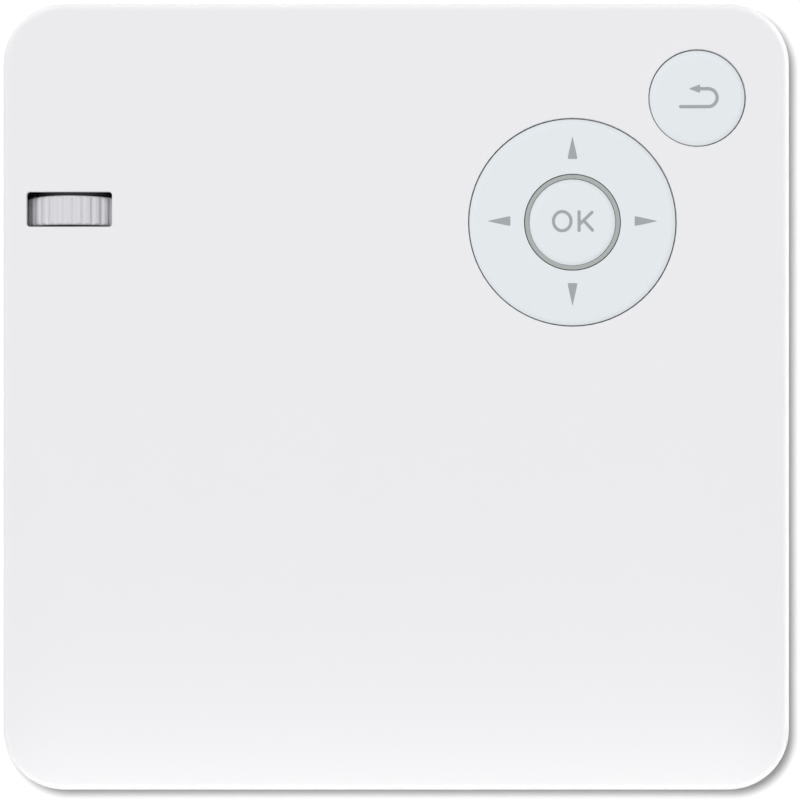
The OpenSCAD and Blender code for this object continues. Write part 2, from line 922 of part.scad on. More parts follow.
module ok_ring()
{
  color([0.66, 0.68, 0.66])
    translate([pad_x, pad_y, 0]) {
      rotate_extrude()
        polygon([[ring_in + 0.4, key_deck], [skirt_r + 3.3, key_deck], [skirt_r + 3.3, key_deck + 0.3],
          [skirt_r, key_deck + 0.3], [skirt_r, ledge_z + 0.3], [ring_out, ledge_z + 0.3],
          [ring_out, body_h], [ring_in, body_h], [ring_in, ledge_z], [ring_in + 0.4, ledge_z]]);
      // Ridges on which the carrier rocks
      for (s = [-1, 1])
        translate([0, s * rock_r, 0])
          rotate([0, 0, 90])
            rocker(key_deck + 0.1, switch_top);
    }
}

module ok_key()
{
  flange_z = ledge_z - 0.7;
  color([0.92, 0.92, 0.93])
    translate([pad_x, pad_y, 0])
      difference() {
        union() {
          translate([0, 0, flange_z])
            key_blank(ok_r, body_h - flange_z);
          translate([0, 0, flange_z])
            cylinder(r = ok_r + 0.4, h = 0.6);
        }
        translate([0, 0, flange_z - cut])
          tube(ok_r - 1, 1.5, body_h - 1.2 - flange_z + cut);
        translate([0, 0, flange_z - cut])
          cylinder(r = ok_r - 1, h = pip_z - flange_z + cut);
      }
}

module return_key()
{
  flange_z = roof_z - 0.7;
  color([0.92, 0.93, 0.94])
    translate([return_x, return_y, 0])
      difference() {
        union() {
          translate([0, 0, flange_z])
            key_blank(return_r, body_h - flange_z);
          translate([0, 0, flange_z])
            cylinder(r = return_r + 1.05, h = 0.6);
          translate([0, 0, pip_z])
            cylinder(r = 1.5, h = body_h - 1 - pip_z);
        }
        translate([0, 0, flange_z - cut])
          tube(return_r - 1.2, 1.5, body_h - 1.2 - flange_z + cut);
      }
}

module key_board()
{
  color([0.1, 0.4, 0.2])
    difference() {
      translate([(kb_x0 + kb_x1) / 2, (kb_y0 + kb_y1) / 2, key_board_z])
        linear_extrude(key_board_t)
          round_rect(kb_x1 - kb_x0, kb_y1 - kb_y0, 3);
      for (p = peg_places)
        translate([p[0], p[1], key_board_z - cut])
          cylinder(r = peg_r + 0.05, h = key_board_t + 2 * cut);
    }
}

module key_switches()
{
  side = 4.6;
  color([0.75, 0.75, 0.77])
    for (p = switch_places)
      translate([p[0], p[1], key_deck]) {
        translate([-side / 2, -side / 2, 0])
          cube([side, side, 0.45]);
        cylinder(r = pip_r, h = switch_top - key_deck);
      }
}

// ---- Light engine ----

// A cradle that holds a round lens, its axis along the cradle's thickness
module cradle(r, t, foot)
{
  difference() {
    translate([-r - 1, -foot, 0])
      cube([2 * r + 2, foot, t]);
    translate([0, 0, -cut])
      cylinder(r = r, h = t + 2 * cut);
  }
}

module engine_housing()
{
  w = engine_w;
  foot = lens_z - engine_floor + 0.5;
  color([0.22, 0.22, 0.24]) {
    difference() {
      translate([engine_x0, engine_y0, deck_z])
        cube([w, engine_d, engine_top - deck_z]);
      translate([engine_x0 + engine_wall, engine_y0 + engine_wall, engine_floor])
        cube([w - 2 * engine_wall, engine_d - 2 * engine_wall, engine_top]);
      // Ports of the lens, the image chip and the light sources
      on_lens(engine_y1 - 2 * engine_wall)
        cylinder(r = barrel_bore_r - 0.3, h = 3 * engine_wall);
      translate([lens_x - 6, engine_y0 - cut, lens_z - 4])
        cube([12, engine_wall + 2 * cut, 8]);
      for (x = mirror_x)
        translate([x, engine_y1 - 2 * engine_wall, lens_z])
          rotate([-90, 0, 0])
            cylinder(r = 3, h = 3 * engine_wall);
      translate([engine_x1 - 2 * engine_wall, prism_y, lens_z])
        rotate([0, 90, 0])
          cylinder(r = 3, h = 3 * engine_wall);
    }
    // Seat of the prism and cradles of the lenses
    translate([lens_x - prism_s / 2, prism_y - prism_s / 2, engine_floor - 0.1])
      cube([prism_s, prism_s, lens_z - prism_s / 2 - engine_floor + 0.1]);
    translate([relay_x, prism_y, lens_z])
      rotate([90, 0, 90])
        cradle(relay_r, 3, foot);
    translate([engine_x1 - 5.2, prism_y, lens_z])
      rotate([90, 0, 90])
        cradle(coll_r, 3, foot);
    for (x = mirror_x)
      translate([x, engine_y1 - 3.5, lens_z])
        rotate([90, 0, 0])
          cradle(coll_r, 3, foot);
  }
}

module engine_lid()
{
  color([0.3, 0.3, 0.32])
    difference() {
      translate([engine_x0, engine_y0, engine_top])
        cube([engine_w, engine_d, 0.5]);
      for (x = [engine_x0 + 3, engine_x1 - 3], y = [engine_y0 + 3, engine_y1 - 3])
        translate([x, y, engine_top - cut])
          cylinder(r = 1, h = 3);
    }
}

// Two wedges with a thin air gap between them
module prism()
{
  s = prism_s / 2;
  air = 0.1;
  color([0.7, 0.8, 0.9, 0.5])
    translate([lens_x, prism_y, lens_z - s])
      linear_extrude(prism_s) {
        polygon([[-s, -s], [s - air, -s], [-s, s - air]]);
        polygon([[s, s], [-s + air, s], [s, -s + air]]);
      }
}

module image_chip()
{
  color([0.35, 0.3, 0.28])
    translate([lens_x - 9, engine_y0 - chip_t, lens_z - chip_h / 2])
      difference() {
        cube([18, chip_t, chip_h]);
        translate([5, chip_t - 0.4, chip_h / 2 - 2.5])
          cube([8, 1, 5]);
      }
}

module chip_heatsink()
{
  base_z = deck_z + 5;
  color([0.75, 0.75, 0.77])
    translate([lens_x - 9, engine_y0 - chip_t - sink_d, base_z])
      difference() {
        cube([18, sink_d, sink_top - base_z]);
        for (i = [0 : 4])
          translate([1.5 + i * 3.3, -cut, -cut])
            cube([1.8, sink_d - 1.4 + cut, sink_top - base_z - 1 + cut]);
      }
}

module led_module()
{
  translate([-6, 0, -chip_h / 2])
    cube([12, 1.4, chip_h]);
  translate([-1.5, -0.8, -1.5])
    cube([3, 0.9, 3]);
}

module led_modules()
{
  color([0.85, 0.85, 0.8]) {
    for (x = [green_x, blue_x + 0.6])
      translate([x, engine_y1, lens_z])
        scale(0.9)
          led_module();
    translate([engine_x1, prism_y, lens_z])
      rotate([0, 0, -90])
        led_module();
    // Copper block between the red light source and the heat pipe
    translate([engine_x1 + 1.4, prism_y - 6, lens_z - chip_h / 2])
      cube([pipe_x2 + pipe_r - engine_x1 - 1.4, 12, sink_top - lens_z + chip_h / 2]);
  }
}

module collimator_lenses()
{
  color([0.8, 0.88, 0.95, 0.5]) {
    translate([engine_x1 - 4.5, prism_y, lens_z])
      rotate([0, 90, 0])
        glass(coll_r - 0.02, 1.4, 0.6, 0.6);
    for (x = mirror_x)
      translate([x, engine_y1 - 5.8, lens_z])
        rotate([-90, 0, 0])
          glass(coll_r - 0.02, 1.4, 0.6, 0.6);
  }
}

module dichroic_mirrors()
{
  color([0.8, 0.5, 0.8, 0.5])
    for (x = mirror_x)
      translate([x, prism_y, engine_floor])
        rotate([0, 0, 45])
          translate([-0.5, -4, 0])
            cube([1, 8, engine_top - engine_floor - 2]);
}

module relay_lens()
{
  color([0.8, 0.88, 0.95, 0.5])
    translate([relay_x + 0.7, prism_y, lens_z])
      rotate([0, 90, 0])
        glass(relay_r - 0.02, 1.6, 0.7, 0.7);
}

module heat_pipe()
{
  bend = [[pipe_x + pipe_bend, pipe_y - pipe_bend, 90], [pipe_x2 - pipe_bend, pipe_y + pipe_bend, 270]];
  color([0.72, 0.45, 0.3]) {
    translate([pipe_x, fin_y0, pipe_z])
      rotate([-90, 0, 0])
        cylinder(r = pipe_r, h = bend[0][1] - fin_y0);
    translate([bend[0][0], pipe_y, pipe_z])
      rotate([0, 90, 0])
        cylinder(r = pipe_r, h = bend[1][0] - bend[0][0]);
    translate([pipe_x2, bend[1][1], pipe_z])
      rotate([-90, 0, 0])
        cylinder(r = pipe_r, h = prism_y + 6 - bend[1][1]);
    for (b = bend)
      translate([b[0], b[1], pipe_z])
        rotate([0, 0, b[2]])
          rotate_extrude(angle = 90)
            translate([pipe_bend, 0])
              circle(pipe_r);
  }
}

module fin_stack()
{
  w = fin_x1 - fin_x0;
  color([0.78, 0.78, 0.8]) {
    for (i = [0 : fins - 1])
      translate([fin_x0, fin_y0 + i * fin_pitch, deck_z])
        cube([w, 0.4, fin_top - deck_z]);
    for (z = [deck_z, fin_top - 0.5])
      translate([fin_x0, fin_y0, z])
        cube([w, (fins - 1) * fin_pitch + 0.4, 0.5]);
  }
}

module blower_housing()
{
  half = blower_s / 2;
  color([0.14, 0.14, 0.15])
    translate([blower_x, blower_y, deck_z]) {
      difference() {
        linear_extrude(blower_h - 1)
          round_rect(blower_s, blower_s, 3);
        translate([0, 0, 1])
          linear_extrude(blower_h) {
            // The scroll widens towards the outlet
            circle(wheel_r + 1.2);
            translate([-1, 1])
              circle(wheel_r + 2.4);
            translate([-half - cut, -wheel_r - 1.4])
              square([half + cut, 2 * wheel_r - 6]);
          }
      }
      // Motor boss and bearing
      translate([0, 0, 0.5])
        difference() {
          union() {
            cylinder(r = 8, h = 2);
            cylinder(r = 2.2, h = 6);
          }
          translate([0, 0, 1.4])
            tube(7, 3, 2);
          translate([0, 0, 1])
            cylinder(r = shaft_r + run_gap, h = 6);
        }
    }
}

module blower_cover()
{
  color([0.2, 0.2, 0.21])
    translate([blower_x, blower_y, blower_top - 1])
      linear_extrude(1)
        difference() {
          round_rect(blower_s, blower_s, 3);
          circle(wheel_r - 4);
        }
}

module blower_impeller()
{
  top = blower_h - 2.2;
  color([0.25, 0.25, 0.27])
    translate([blower_x, blower_y, deck_z]) {
      // Hub cup and shaft
      difference() {
        translate([0, 0, 3.4])
          cylinder(r = hub_r, h = top - 3.4);
        translate([0, 0, 3.4 - cut])
          cylinder(r = hub_r - 1, h = top - 4.4 + cut);
      }
      translate([0, 0, 2])
        cylinder(r = shaft_r, h = top - 2.5);
      // Back plate and curved blades
      translate([0, 0, 3.4])
        tube(wheel_r, hub_r - 0.5, 0.8);
      for (i = [0 : blades - 1])
        rotate([0, 0, 360 * i / blades])
          translate([wheel_r - 4.6, -4.2, 3.8])
            rotate([0, 0, 60])
              rotate_extrude(angle = 62)
                translate([4.2, 0])
                  square([0.7, top - 3.8]);
    }
}

// ---- Chassis and electronics ----

module chassis_plate()
{
  inset = wall + 0.6;
  color([0.7, 0.71, 0.73]) {
    difference() {
      translate([0, 0, boss_top])
        linear_extrude(plate_t)
          case_outline(inset);
      at_bosses()
        translate([0, 0, boss_top - cut])
          cylinder(r = screw_r + 0.3, h = plate_t + 2 * cut);
      // Way up for the air, under the lens barrel
      translate([-hw + 4.5, engine_y1 + 4, boss_top - cut])
        cube([11, 30, plate_t + 2 * cut]);
      // Lightening windows beside the battery
      for (x = [-14, 0])
        translate([x, engine_y1 + 6, boss_top - cut])
          cube([9, 26, plate_t + 2 * cut]);
    }
    for (p = standoffs)
      translate([p[0], p[1], deck_z - 0.1])
        cylinder(r = 1.8, h = board_z - deck_z + 0.1);
  }
}

module main_board()
{
  color([0.08, 0.35, 0.2])
    difference() {
      translate([0, 0, board_z])
        linear_extrude(board_t)
          difference() {
            union() {
              translate([board_x0, board_y0])
                square([board_x1 - board_x0, board_y1 - board_y0]);
              translate([board_x0 - 10, board_y0])
                square([11, 7.5]);
            }
            // Notches round the screw post and the case's corner
            translate([boss_x[1], -boss_y])
              circle(boss_r + 0.4);
            translate([boss_x[1], board_y0 - cut])
              square([board_x1 - boss_x[1] + cut, hd - boss_y + 2]);
          }
      for (p = standoffs)
        translate([p[0], p[1], board_z - cut])
          cylinder(r = 1, h = board_t + 2 * cut);
    }
}

module board_chips()
{
  soc = [board_x0 + 22, board_y0 + 30];
  color([0.12, 0.12, 0.13]) {
    // Processor under a finned heat sink
    translate([soc[0], soc[1], board_top])
      cube([17, 17, 1.4]);
    translate([soc[0] - 4, soc[1] - 4, board_top + 1.4])
      difference() {
        cube([25, 25, 7]);
        for (i = [0 : 6])
          translate([1.6 + i * 3.4, -cut, 1.6])
            cube([1.9, 25 + 2 * cut, 8]);
      }
    // Memory, power parts and storage
    for (i = [0 : 1])
      translate([soc[0] + 27, soc[1] - 2 + i * 12, board_top])
        cube([12, 9, 1]);
    translate([board_x0 + 4, board_y0 + 40, board_top])
      cube([10, 12, 1]);
    for (i = [0 : 3])
      translate([board_x0 + 9, board_y0 + 16 + i * 5.5, board_top])
        cylinder(r = 2, h = 5.4);
    for (i = [0 : 2])
      translate([soc[0] + 26 + i * 7.5, soc[1] - 13, board_top])
        cube([6, 6, 3]);
    // Ribbon connectors along the front edge
    for (i = [0 : 2])
      translate([board_x0 + 16 + i * 17, board_y1 - 5, board_top])
        cube([13, 3.6, 1.8]);
  }
}

// The outline of the wide video plug, narrower below
module hdmi_outline(inset)
{
  w = hdmi_w / 2 - inset;
  h = hdmi_h / 2 - inset;
  polygon([[-w, h], [w, h], [w, -h + 1.6], [w - 1.6, -h], [-w + 1.6, -h], [-w, -h + 1.6]]);
}

module hdmi_socket()
{
  len = 12;
  color([0.75, 0.75, 0.77])
    translate([hdmi_x, socket_y + len, hdmi_z])
      rotate([90, 0, 0]) {
        difference() {
          linear_extrude(len)
            hdmi_outline(0);
          translate([0, 0, 2])
            linear_extrude(len)
              hdmi_outline(0.5);
        }
        translate([-5.5, -0.2, 1])
          cube([11, 0.9, len - 2]);
      }
}

module usb_socket()
{
  len = 14;
  color([0.75, 0.75, 0.77])
    translate([usb_x, socket_y + len, usb_z])
      rotate([90, 0, 0]) {
        difference() {
          translate([0, 0, len / 2])
            cube([usb_w, usb_h, len], center = true);
          translate([0, 0, 2 + len / 2])
            cube([usb_w - 0.8, usb_h - 0.8, len], center = true);
        }
        translate([-5.6, 0.3, 1])
          cube([11.2, 1.9, len - 2]);
      }
}

module power_socket()
{
  len = 12;
  color([0.12, 0.12, 0.13])
    translate([jack_x, socket_y + len, jack_z]) {
      difference() {
        union() {
          rotate([90, 0, 0])
            cylinder(r = jack_r, h = len);
          translate([-4, -len + 2.4, -jack_z + board_top])
            cube([8, len - 2.4, jack_z - board_top + 3.6]);
        }
        rotate([90, 0, 0])
          translate([0, 0, 2])
            cylinder(r = jack_bore, h = len);
      }
      rotate([90, 0, 0])
        translate([0, 0, 1])
          cylinder(r = 1, h = len - 2);
    }
}

module audio_socket()
{
  len = 12;
  color([0.12, 0.12, 0.13])
    translate([audio_x, socket_y + len, audio_z])
      difference() {
        union() {
          rotate([90, 0, 0])
            cylinder(r = audio_r, h = len);
          translate([-3, -len + 2.4, -audio_z + board_top])
            cube([6, len - 2.4, audio_z - board_top + 2.9]);
        }
        rotate([90, 0, 0])
          translate([0, 0, 1])
            cylinder(r = audio_bore, h = len);
      }
}

module switch_body()
{
  w = power_w + power_travel + 4;
  y0 = -hd + wall + 1.4;
  color([0.7, 0.7, 0.72])
    translate([power_x - w / 2, y0, board_top])
      difference() {
        cube([w, 4, 5.4]);
        // Slot in which the key's stem slides
        translate([1.4, -cut, power_z - board_top - 0.9])
          cube([w - 2.8, 2.5 + cut, 1.8]);
      }
}

module power_key()
{
  x = power_x - (power_w + power_travel) / 2;
  color([0.3, 0.3, 0.32]) {
    translate([x, -hd + 0.5, power_z - power_h / 2])
      difference() {
        cube([power_w, wall + 0.1, power_h]);
        for (i = [0 : 2])
          translate([0.9 + i * 0.9, -cut, -cut])
            cube([0.4, cut + 0.3, power_h + 2 * cut]);
      }
    translate([x - 0.4, -hd + wall + 0.3, power_z - power_h / 2 - 0.4])
      cube([power_w + 0.8, 0.8, power_h + 0.8]);
    translate([x + power_w / 2 - 0.8, -hd + wall + 1, power_z - 0.8])
      cube([1.6, 2, 1.6]);
  }
}

module battery_pack()
{
  color([0.15, 0.25, 0.45])
    translate([(battery_x0 + battery_x1) / 2, (battery_y0 + battery_y1) / 2, deck_z])
      soft_slab(battery_x1 - battery_x0, battery_y1 - battery_y0, battery_top - deck_z, 3, 0.8);
}

module speaker()
{
  w = speaker_w;
  h = speaker_h;
  y1 = hd - wall - 0.4;
  color([0.12, 0.12, 0.13])
    translate([boss_x[1] - 24, y1, deck_z + h / 2 + 2.2]) {
      difference() {
        translate([-w / 2, -3, -h / 2 - 2])
          cube([w, 3, h + 4]);
        rotate([90, 0, 0])
          translate([0, 0, -cut])
            cylinder(r1 = h / 2 + 2, r2 = h / 2 - 2, h = 3.4 + cut);
      }
      translate([0, -2, 0])
        rotate([90, 0, 0])
          cylinder(r = h / 2, h = 7);
      // Foot that stands on the chassis
      translate([-w / 2, -3, -h / 2 - 2.2])
        cube([w, 3, 2]);
    }
}

// ---- Disc drive ----

module drive_pan()
{
  side = drive_w / 2;
  color([0.72, 0.73, 0.75]) {
    difference() {
      translate([drive_back, -side, drive_z])
        cube([pan_front - drive_back, drive_w, pan_top - drive_z]);
      translate([drive_back + sheet, -side + sheet, drive_z + sheet])
        cube([drive_len, drive_w - 2 * sheet, drive_h]);
      // Cooling and weight holes in the floor
      for (a = [0 : 60 : 300])
        translate([spindle_x - 1 + 34 * cos(a), 34 * sin(a), drive_z - cut])
          cylinder(r = 5, h = sheet + 2 * cut);
    }
    // Pin that the eject latch hooks
    translate([latch_pin[0], latch_pin[1], drive_z + sheet / 2])
      cylinder(r = 1.2, h = 2.2);
  }
}

module drive_lid()
{
  side = drive_w / 2;
  color([0.74, 0.75, 0.77]) {
    translate([drive_back, -side, pan_top])
      cube([pan_front - drive_back, drive_w, sheet]);
    // Pressed ring that stiffens the lid
    translate([spindle_x, 0, pan_top + sheet / 2])
      tube(well_r * 3 / 4, well_r * 2 / 3, sheet / 2 + 0.3);
  }
}

module traverse_outline(gap)
{
  translate([-13 - gap, -12.9 - gap])
    square([rod_u1 + 13 + 2 * gap, 27.4 + 2 * gap]);
  translate([-gap, -17.4 - gap])
    square([rod_u1 - 2.5 + 2 * gap, 8 + gap]);
}

// Height of the tray's underside over a point: the well's floor or the corner skin
function tray_roof(p) = norm([p[0] - spindle_x, p[1]]) < well_r ? tray_under : rim_z - tray_skin;

module disc_tray()
{
  len = tray_x1 - tray_x0;
  color([0.12, 0.12, 0.13])
    difference() {
      union() {
        translate([tray_x0, -tray_hw, skirt_z])
          cube([len, 2 * tray_hw, rim_z - skirt_z]);
        // Tongues that run in the side rails
        for (s = [-1, 1])
          translate([tray_x0, s > 0 ? tray_hw - 0.5 : -rail_out + rail_t + 0.2, rail_z0 + 0.8])
            cube([len - 2, rail_out - rail_t - 0.2 - tray_hw + 0.5, rail_h - 1.6]);
      }
      translate([spindle_x, 0, well_z])
        cylinder(r = well_r, h = drive_h);
      // Hollow underside, with a thin skin over the four corners
      translate([tray_x0 + 0.8, -tray_hw + 0.8, skirt_z - cut])
        cube([len - 2, 2 * tray_hw - 1.6, tray_under - skirt_z + cut]);
      translate([0, 0, tray_under - cut])
        linear_extrude(rim_z - tray_skin - tray_under + cut)
          difference() {
            translate([tray_x0 + 0.8, -tray_hw + 0.8])
              square([len - 2, 2 * tray_hw - 1.6]);
            translate([spindle_x, 0])
              circle(well_r + tray_skin);
          }
      // Opening of the pickup and the turntable
      on_path()
        translate([0, 0, tray_under - cut])
          linear_extrude(well_z - tray_under + cut + 0.3)
            traverse_outline(0.2);
      translate([spindle_x, 0, tray_under - cut])
        cylinder(r = table_r + 0.8, h = drive_h);
      // Way through the front for the eject key
      translate([tray_x1 - 2.4, key_hole_y - key_l / 2 - 1.6, skirt_z - cut])
        cube([2.4 + cut, key_l + 3.2, key_hole_z + key_h / 2 + 0.6 - skirt_z + cut]);
      // Notch for the pin of the latch
      translate([tray_x0 - cut, latch_pin[1] - 2.4, skirt_z - cut])
        cube([3, 5.2, latch_z + 2.2 - skirt_z + cut]);
    }
  // Stud of the latch, and posts for the drive board
  color([0.12, 0.12, 0.13]) {
    translate([latch_x, latch_y, latch_z])
      cylinder(r = 1, h = tray_roof([latch_x, latch_y]) - latch_z + 0.2);
    for (p = drive_posts)
      translate([p[0], p[1], drive_z + 2])
        cylinder(r = 1.6, h = tray_roof(p) - drive_z - 2 + 0.2);
  }
}

module tray_bezel()
{
  half = drive_w / 2;
  color([0.93, 0.93, 0.94])
    difference() {
      intersection() {
        translate([tray_x1, -half, drive_z])
          cube([bezel_t + cut, drive_w, drive_h]);
        linear_extrude(body_h)
          case_outline(0);
      }
      translate([hw - bezel_t - cut, key_hole_y, key_hole_z])
        rotate([90, 0, 90])
          linear_extrude(bezel_t + 2 * cut)
            rotate([0, 0, 90])
              stadium(key_l + 0.4, key_h + 0.4);
      // Pin hole for opening by hand, and the window of the activity lamp
      translate([hw - bezel_t - cut, key_hole_y - 8, key_hole_z])
        rotate([0, 90, 0])
          cylinder(r = 0.6, h = bezel_t + 2 * cut, $fn = 24);
      translate([hw - 0.6, key_hole_y + 8, key_hole_z])
        rotate([90, 0, 90])
          linear_extrude(bezel_t)
            rotate([0, 0, 90])
              stadium(3, 1);
    }
}

module eject_key()
{
  color([0.9, 0.9, 0.91]) {
    translate([tray_x1 - 0.5, key_hole_y, key_hole_z])
      rotate([90, 0, 90])
        linear_extrude(bezel_t + 0.4)
          rotate([0, 0, 90])
            stadium(key_l, key_h);
    translate([tray_x1 - 0.9, key_hole_y - key_l / 2 - 1, key_hole_z - key_h / 2 - 0.25])
      cube([0.7, key_l + 2, key_h + 0.5]);
  }
}

module tray_rails()
{
  color([0.7, 0.71, 0.73])
    for (s = [0, 1])
      mirror([0, s, 0])
        translate([rail_x0, tray_hw + 0.3, rail_z0])
          difference() {
            cube([rail_x1 - rail_x0, rail_out - tray_hw - 0.3, rail_h]);
            translate([-cut, -cut, rail_t])
              cube([rail_x1 - rail_x0 + 2 * cut, rail_out - tray_hw - 0.3 - rail_t + cut,
                rail_h - 2 * rail_t]);
          }
}

module traverse_frame()
{
  color([0.5, 0.51, 0.53]) {
    on_path() {
      difference() {
        translate([0, 0, frame_z])
          linear_extrude(frame_t)
            traverse_outline(0);
        // Window of the pickup and hole of the spindle motor
        translate([rod_u0 + 2, -12.3, frame_z - cut])
          cube([rod_u1 - rod_u0 - 3.6, 24.6, frame_t + 2 * cut]);
        translate([0, 0, frame_z - cut])
          cylinder(r = 10.2, h = frame_t + 2 * cut);
      }
      // Holders of the guide rods
      for (u = [rod_u0, rod_u1 - 1.6], s = [-1, 1])
        translate([u, s * rod_v - 1.8, drive_z + 1])
          difference() {
            cube([1.6, 3.6, frame_z - drive_z - 1 + 0.1]);
            translate([-cut, 1.8, rod_z - drive_z - 1])
              rotate([0, 90, 0])
                cylinder(r = rod_r + 0.02, h = 1.6 + 2 * cut);
          }
    }
  }
}

module spindle_motor()
{
  base = drive_z + 0.8;
  color([0.6, 0.6, 0.62])
    translate([spindle_x, 0, base]) {
      cylinder(r = motor_r, h = 0.8);
      difference() {
        cylinder(r = 2.3, h = 2.4);
        translate([0, 0, 0.5])
          cylinder(r = shaft_r + run_gap, h = 4);
      }
      // Wound poles
      for (a = [0 : 40 : 320])
        rotate([0, 0, a]) {
          translate([2, -0.6, 0.9])
            cube([5.4, 1.2, 1]);
          translate([6.8, -1.6, 0.9])
            cube([1, 3.2, 1]);
        }
      translate([0, 0, 0.7])
        tube(3, 2, 1.3);
      // Posts that hang the motor under the traverse frame
      for (a = [90, 210, 330])
        rotate([0, 0, a])
          translate([motor_r - 0.9, 0, 0.4])
            cylinder(r = 0.7, h = frame_z - base - 0.4);
    }
}

module turntable()
{
  seat = well_z + 1.3;
  can_r = 9.4;
  color([0.3, 0.3, 0.32])
    translate([spindle_x, 0, 0]) {
      // Rotor can and shaft
      translate([0, 0, drive_z + 1.9])
        tube(can_r, can_r - 0.9, seat - drive_z - 2.4);
      translate([0, 0, drive_z + 1.7])
        cylinder(r = shaft_r, h = seat - drive_z - 2.2);
      difference() {
        translate([0, 0, seat - 1])
          cylinder(r = table_r, h = 1);
        translate([0, 0, seat - 0.2])
          tube(table_r - 0.6, nose_r + 0.8, 1);
      }
      translate([0, 0, seat - 0.12 - 0.1])
        tube(table_r - 1, table_r - 3, 0.22);
      // Nose with three spring claws
      difference() {
        translate([0, 0, seat - 0.5])
          rotate_extrude()
            polygon([[0, 0], [nose_r, 0], [nose_r, 2], [nose_r - 1.6, 2.8], [0, 2.8]]);
        for (a = [0 : 120 : 240])
          rotate([0, 0, a])
            for (s = [-1, 1])
              translate([nose_r - 3.4, s * 1.6 - 0.25, seat])
                cube([4, 0.5, 3]);
        translate([0, 0, seat + 1.5])
          cylinder(r = 2.4, h = 2);
      }
    }
}

module pickup_sled()
{
  base = drive_z + 1.05;
  color([0.2, 0.2, 0.22])
    on_path()
      translate([sled_start, 0, 0]) {
        difference() {
          translate([-sled_half, -11.5, base])
            cube([2 * sled_half, 23.3, well_z - 0.4 - base]);
          for (s = [-1, 1])
            translate([-sled_half - cut, s * rod_v, rod_z])
              rotate([0, 90, 0])
                cylinder(r = rod_r + run_gap, h = 2 * sled_half + 2 * cut);
          // Waist between the bearing lugs
          for (s = [-1, 1])
            translate([-sled_half + 3.4, s * 10.6 - 2, base - cut])
              cube([2 * sled_half - 6.8, 4, well_z]);
        }
        // Rack finger beside the lead screw
        translate([-sled_half, lead_v + lead_r + 0.15, base + 0.5])
          cube([3.2, -11.3 - lead_v - lead_r - 0.15, 1.3]);
        // Objective lens in its raised holder
        translate([0, 0, well_z - 0.5])
          tube(4.4, 2.1, 0.45);
        translate([0, 0, well_z - 0.5])
          glass(2.05, 0.3, 0.35, 0.05);
      }
}

module lead_screw()
{
  u0 = sled_start - sled_half - 2.4;
  color([0.75, 0.75, 0.78])
    on_path()
      translate([0, lead_v, lead_z])
        rotate([0, 90, 0]) {
          translate([0, 0, u0])
            cylinder(r = lead_r, h = rod_u1 - 6 - u0);
          translate([0, 0, u0 - 2])
            cylinder(r = 0.6, h = rod_u1 - 4.8 - u0 + 2);
        }
}

module guide_rods()
{
  color([0.82, 0.82, 0.85])
    on_path()
      for (s = [-1, 1])
        translate([rod_u0, s * rod_v, rod_z])
          rotate([0, 90, 0])
            cylinder(r = rod_r, h = rod_u1 - rod_u0);
}

module sled_motor()
{
  u1 = sled_start - sled_half - 2.6;
  color([0.66, 0.66, 0.68])
    on_path() {
      difference() {
        translate([u1 - 8.5, lead_v - 2.6, drive_z + 0.9])
          cube([8.5, 5.2, frame_z - drive_z - 0.9]);
        translate([u1 - 2.2, lead_v, lead_z])
          rotate([0, 90, 0])
            cylinder(r = 0.6 + run_gap, h = 3);
      }
      // Bearing bracket at the far end of the screw
      translate([rod_u1 - 5.6, lead_v - 1.6, drive_z + 1])
        difference() {
          cube([1, 3.2, frame_z - drive_z - 1]);
          translate([-cut, 1.6, lead_z - drive_z - 1])
            rotate([0, 90, 0])
              cylinder(r = 0.6 + run_gap, h = 1 + 2 * cut);
        }
    }
}

module drive_board()
{
  x0 = drive_back + 5;
  color([0.1, 0.3, 0.18]) {
    difference() {
      translate([x0, -26, drive_z + 1.2])
        cube([38, 76, 0.8]);
      translate([x0, 14, drive_z])
        cube([9, 10, 4]);
    }
    for (p = [[x0 + 12, -12, 12], [x0 + 14, 26, 9], [x0 + 24, 8, 7]])
      translate([p[0], p[1], drive_z + 1.9])
        cube([p[2], p[2], 0.8]);
  }
}

module eject_latch()
{
  color([0.6, 0.6, 0.62])
    translate([latch_x, latch_y, latch_z])
      difference() {
        union() {
          cylinder(r = 2.2, h = 1.2);
          translate([-14.6, -1.2, 0])
            cube([14.6, 2.4, 1.2]);
          translate([-14.6, -5.4, 0])
            cube([1.3, 5.4, 1.2]);
        }
        translate([0, 0, -cut])
          cylinder(r = 1 + run_gap, h = 4);
      }
}

top_cover();
bottom_cover();
case_screws();
rubber_feet();
tripod_insert();
lens_bezel();
lens_barrel();
focus_clip();
focus_ring();
lens_cell();
front_lens();
rear_lens();
direction_pad();
pad_carrier();
ok_ring();
ok_key();
return_key();
key_board();
key_switches();
engine_housing();
engine_lid();
prism();
image_chip();
chip_heatsink();
led_modules();
collimator_lenses();
dichroic_mirrors();
relay_lens();
heat_pipe();
fin_stack();
blower_housing();
blower_cover();
blower_impeller();
chassis_plate();
main_board();
board_chips();
hdmi_socket();
usb_socket();
power_socket();
audio_socket();
switch_body();
power_key();
battery_pack();
speaker();
drive_pan();
drive_lid();
disc_tray();
tray_bezel();
eject_key();
tray_rails();
traverse_frame();
spindle_motor();
turntable();
pickup_sled();
lead_screw();
guide_rods();
sled_motor();
drive_board();
eject_latch();
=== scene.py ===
"""Looks of a square pocket projector with a slim disc drive.

Gives every part its finish, adds the printed key legends and the small
fittings that show at the sockets and in the drive, and sets up a pale studio.
Lengths are in metres, in the frame of the CAD model.
"""

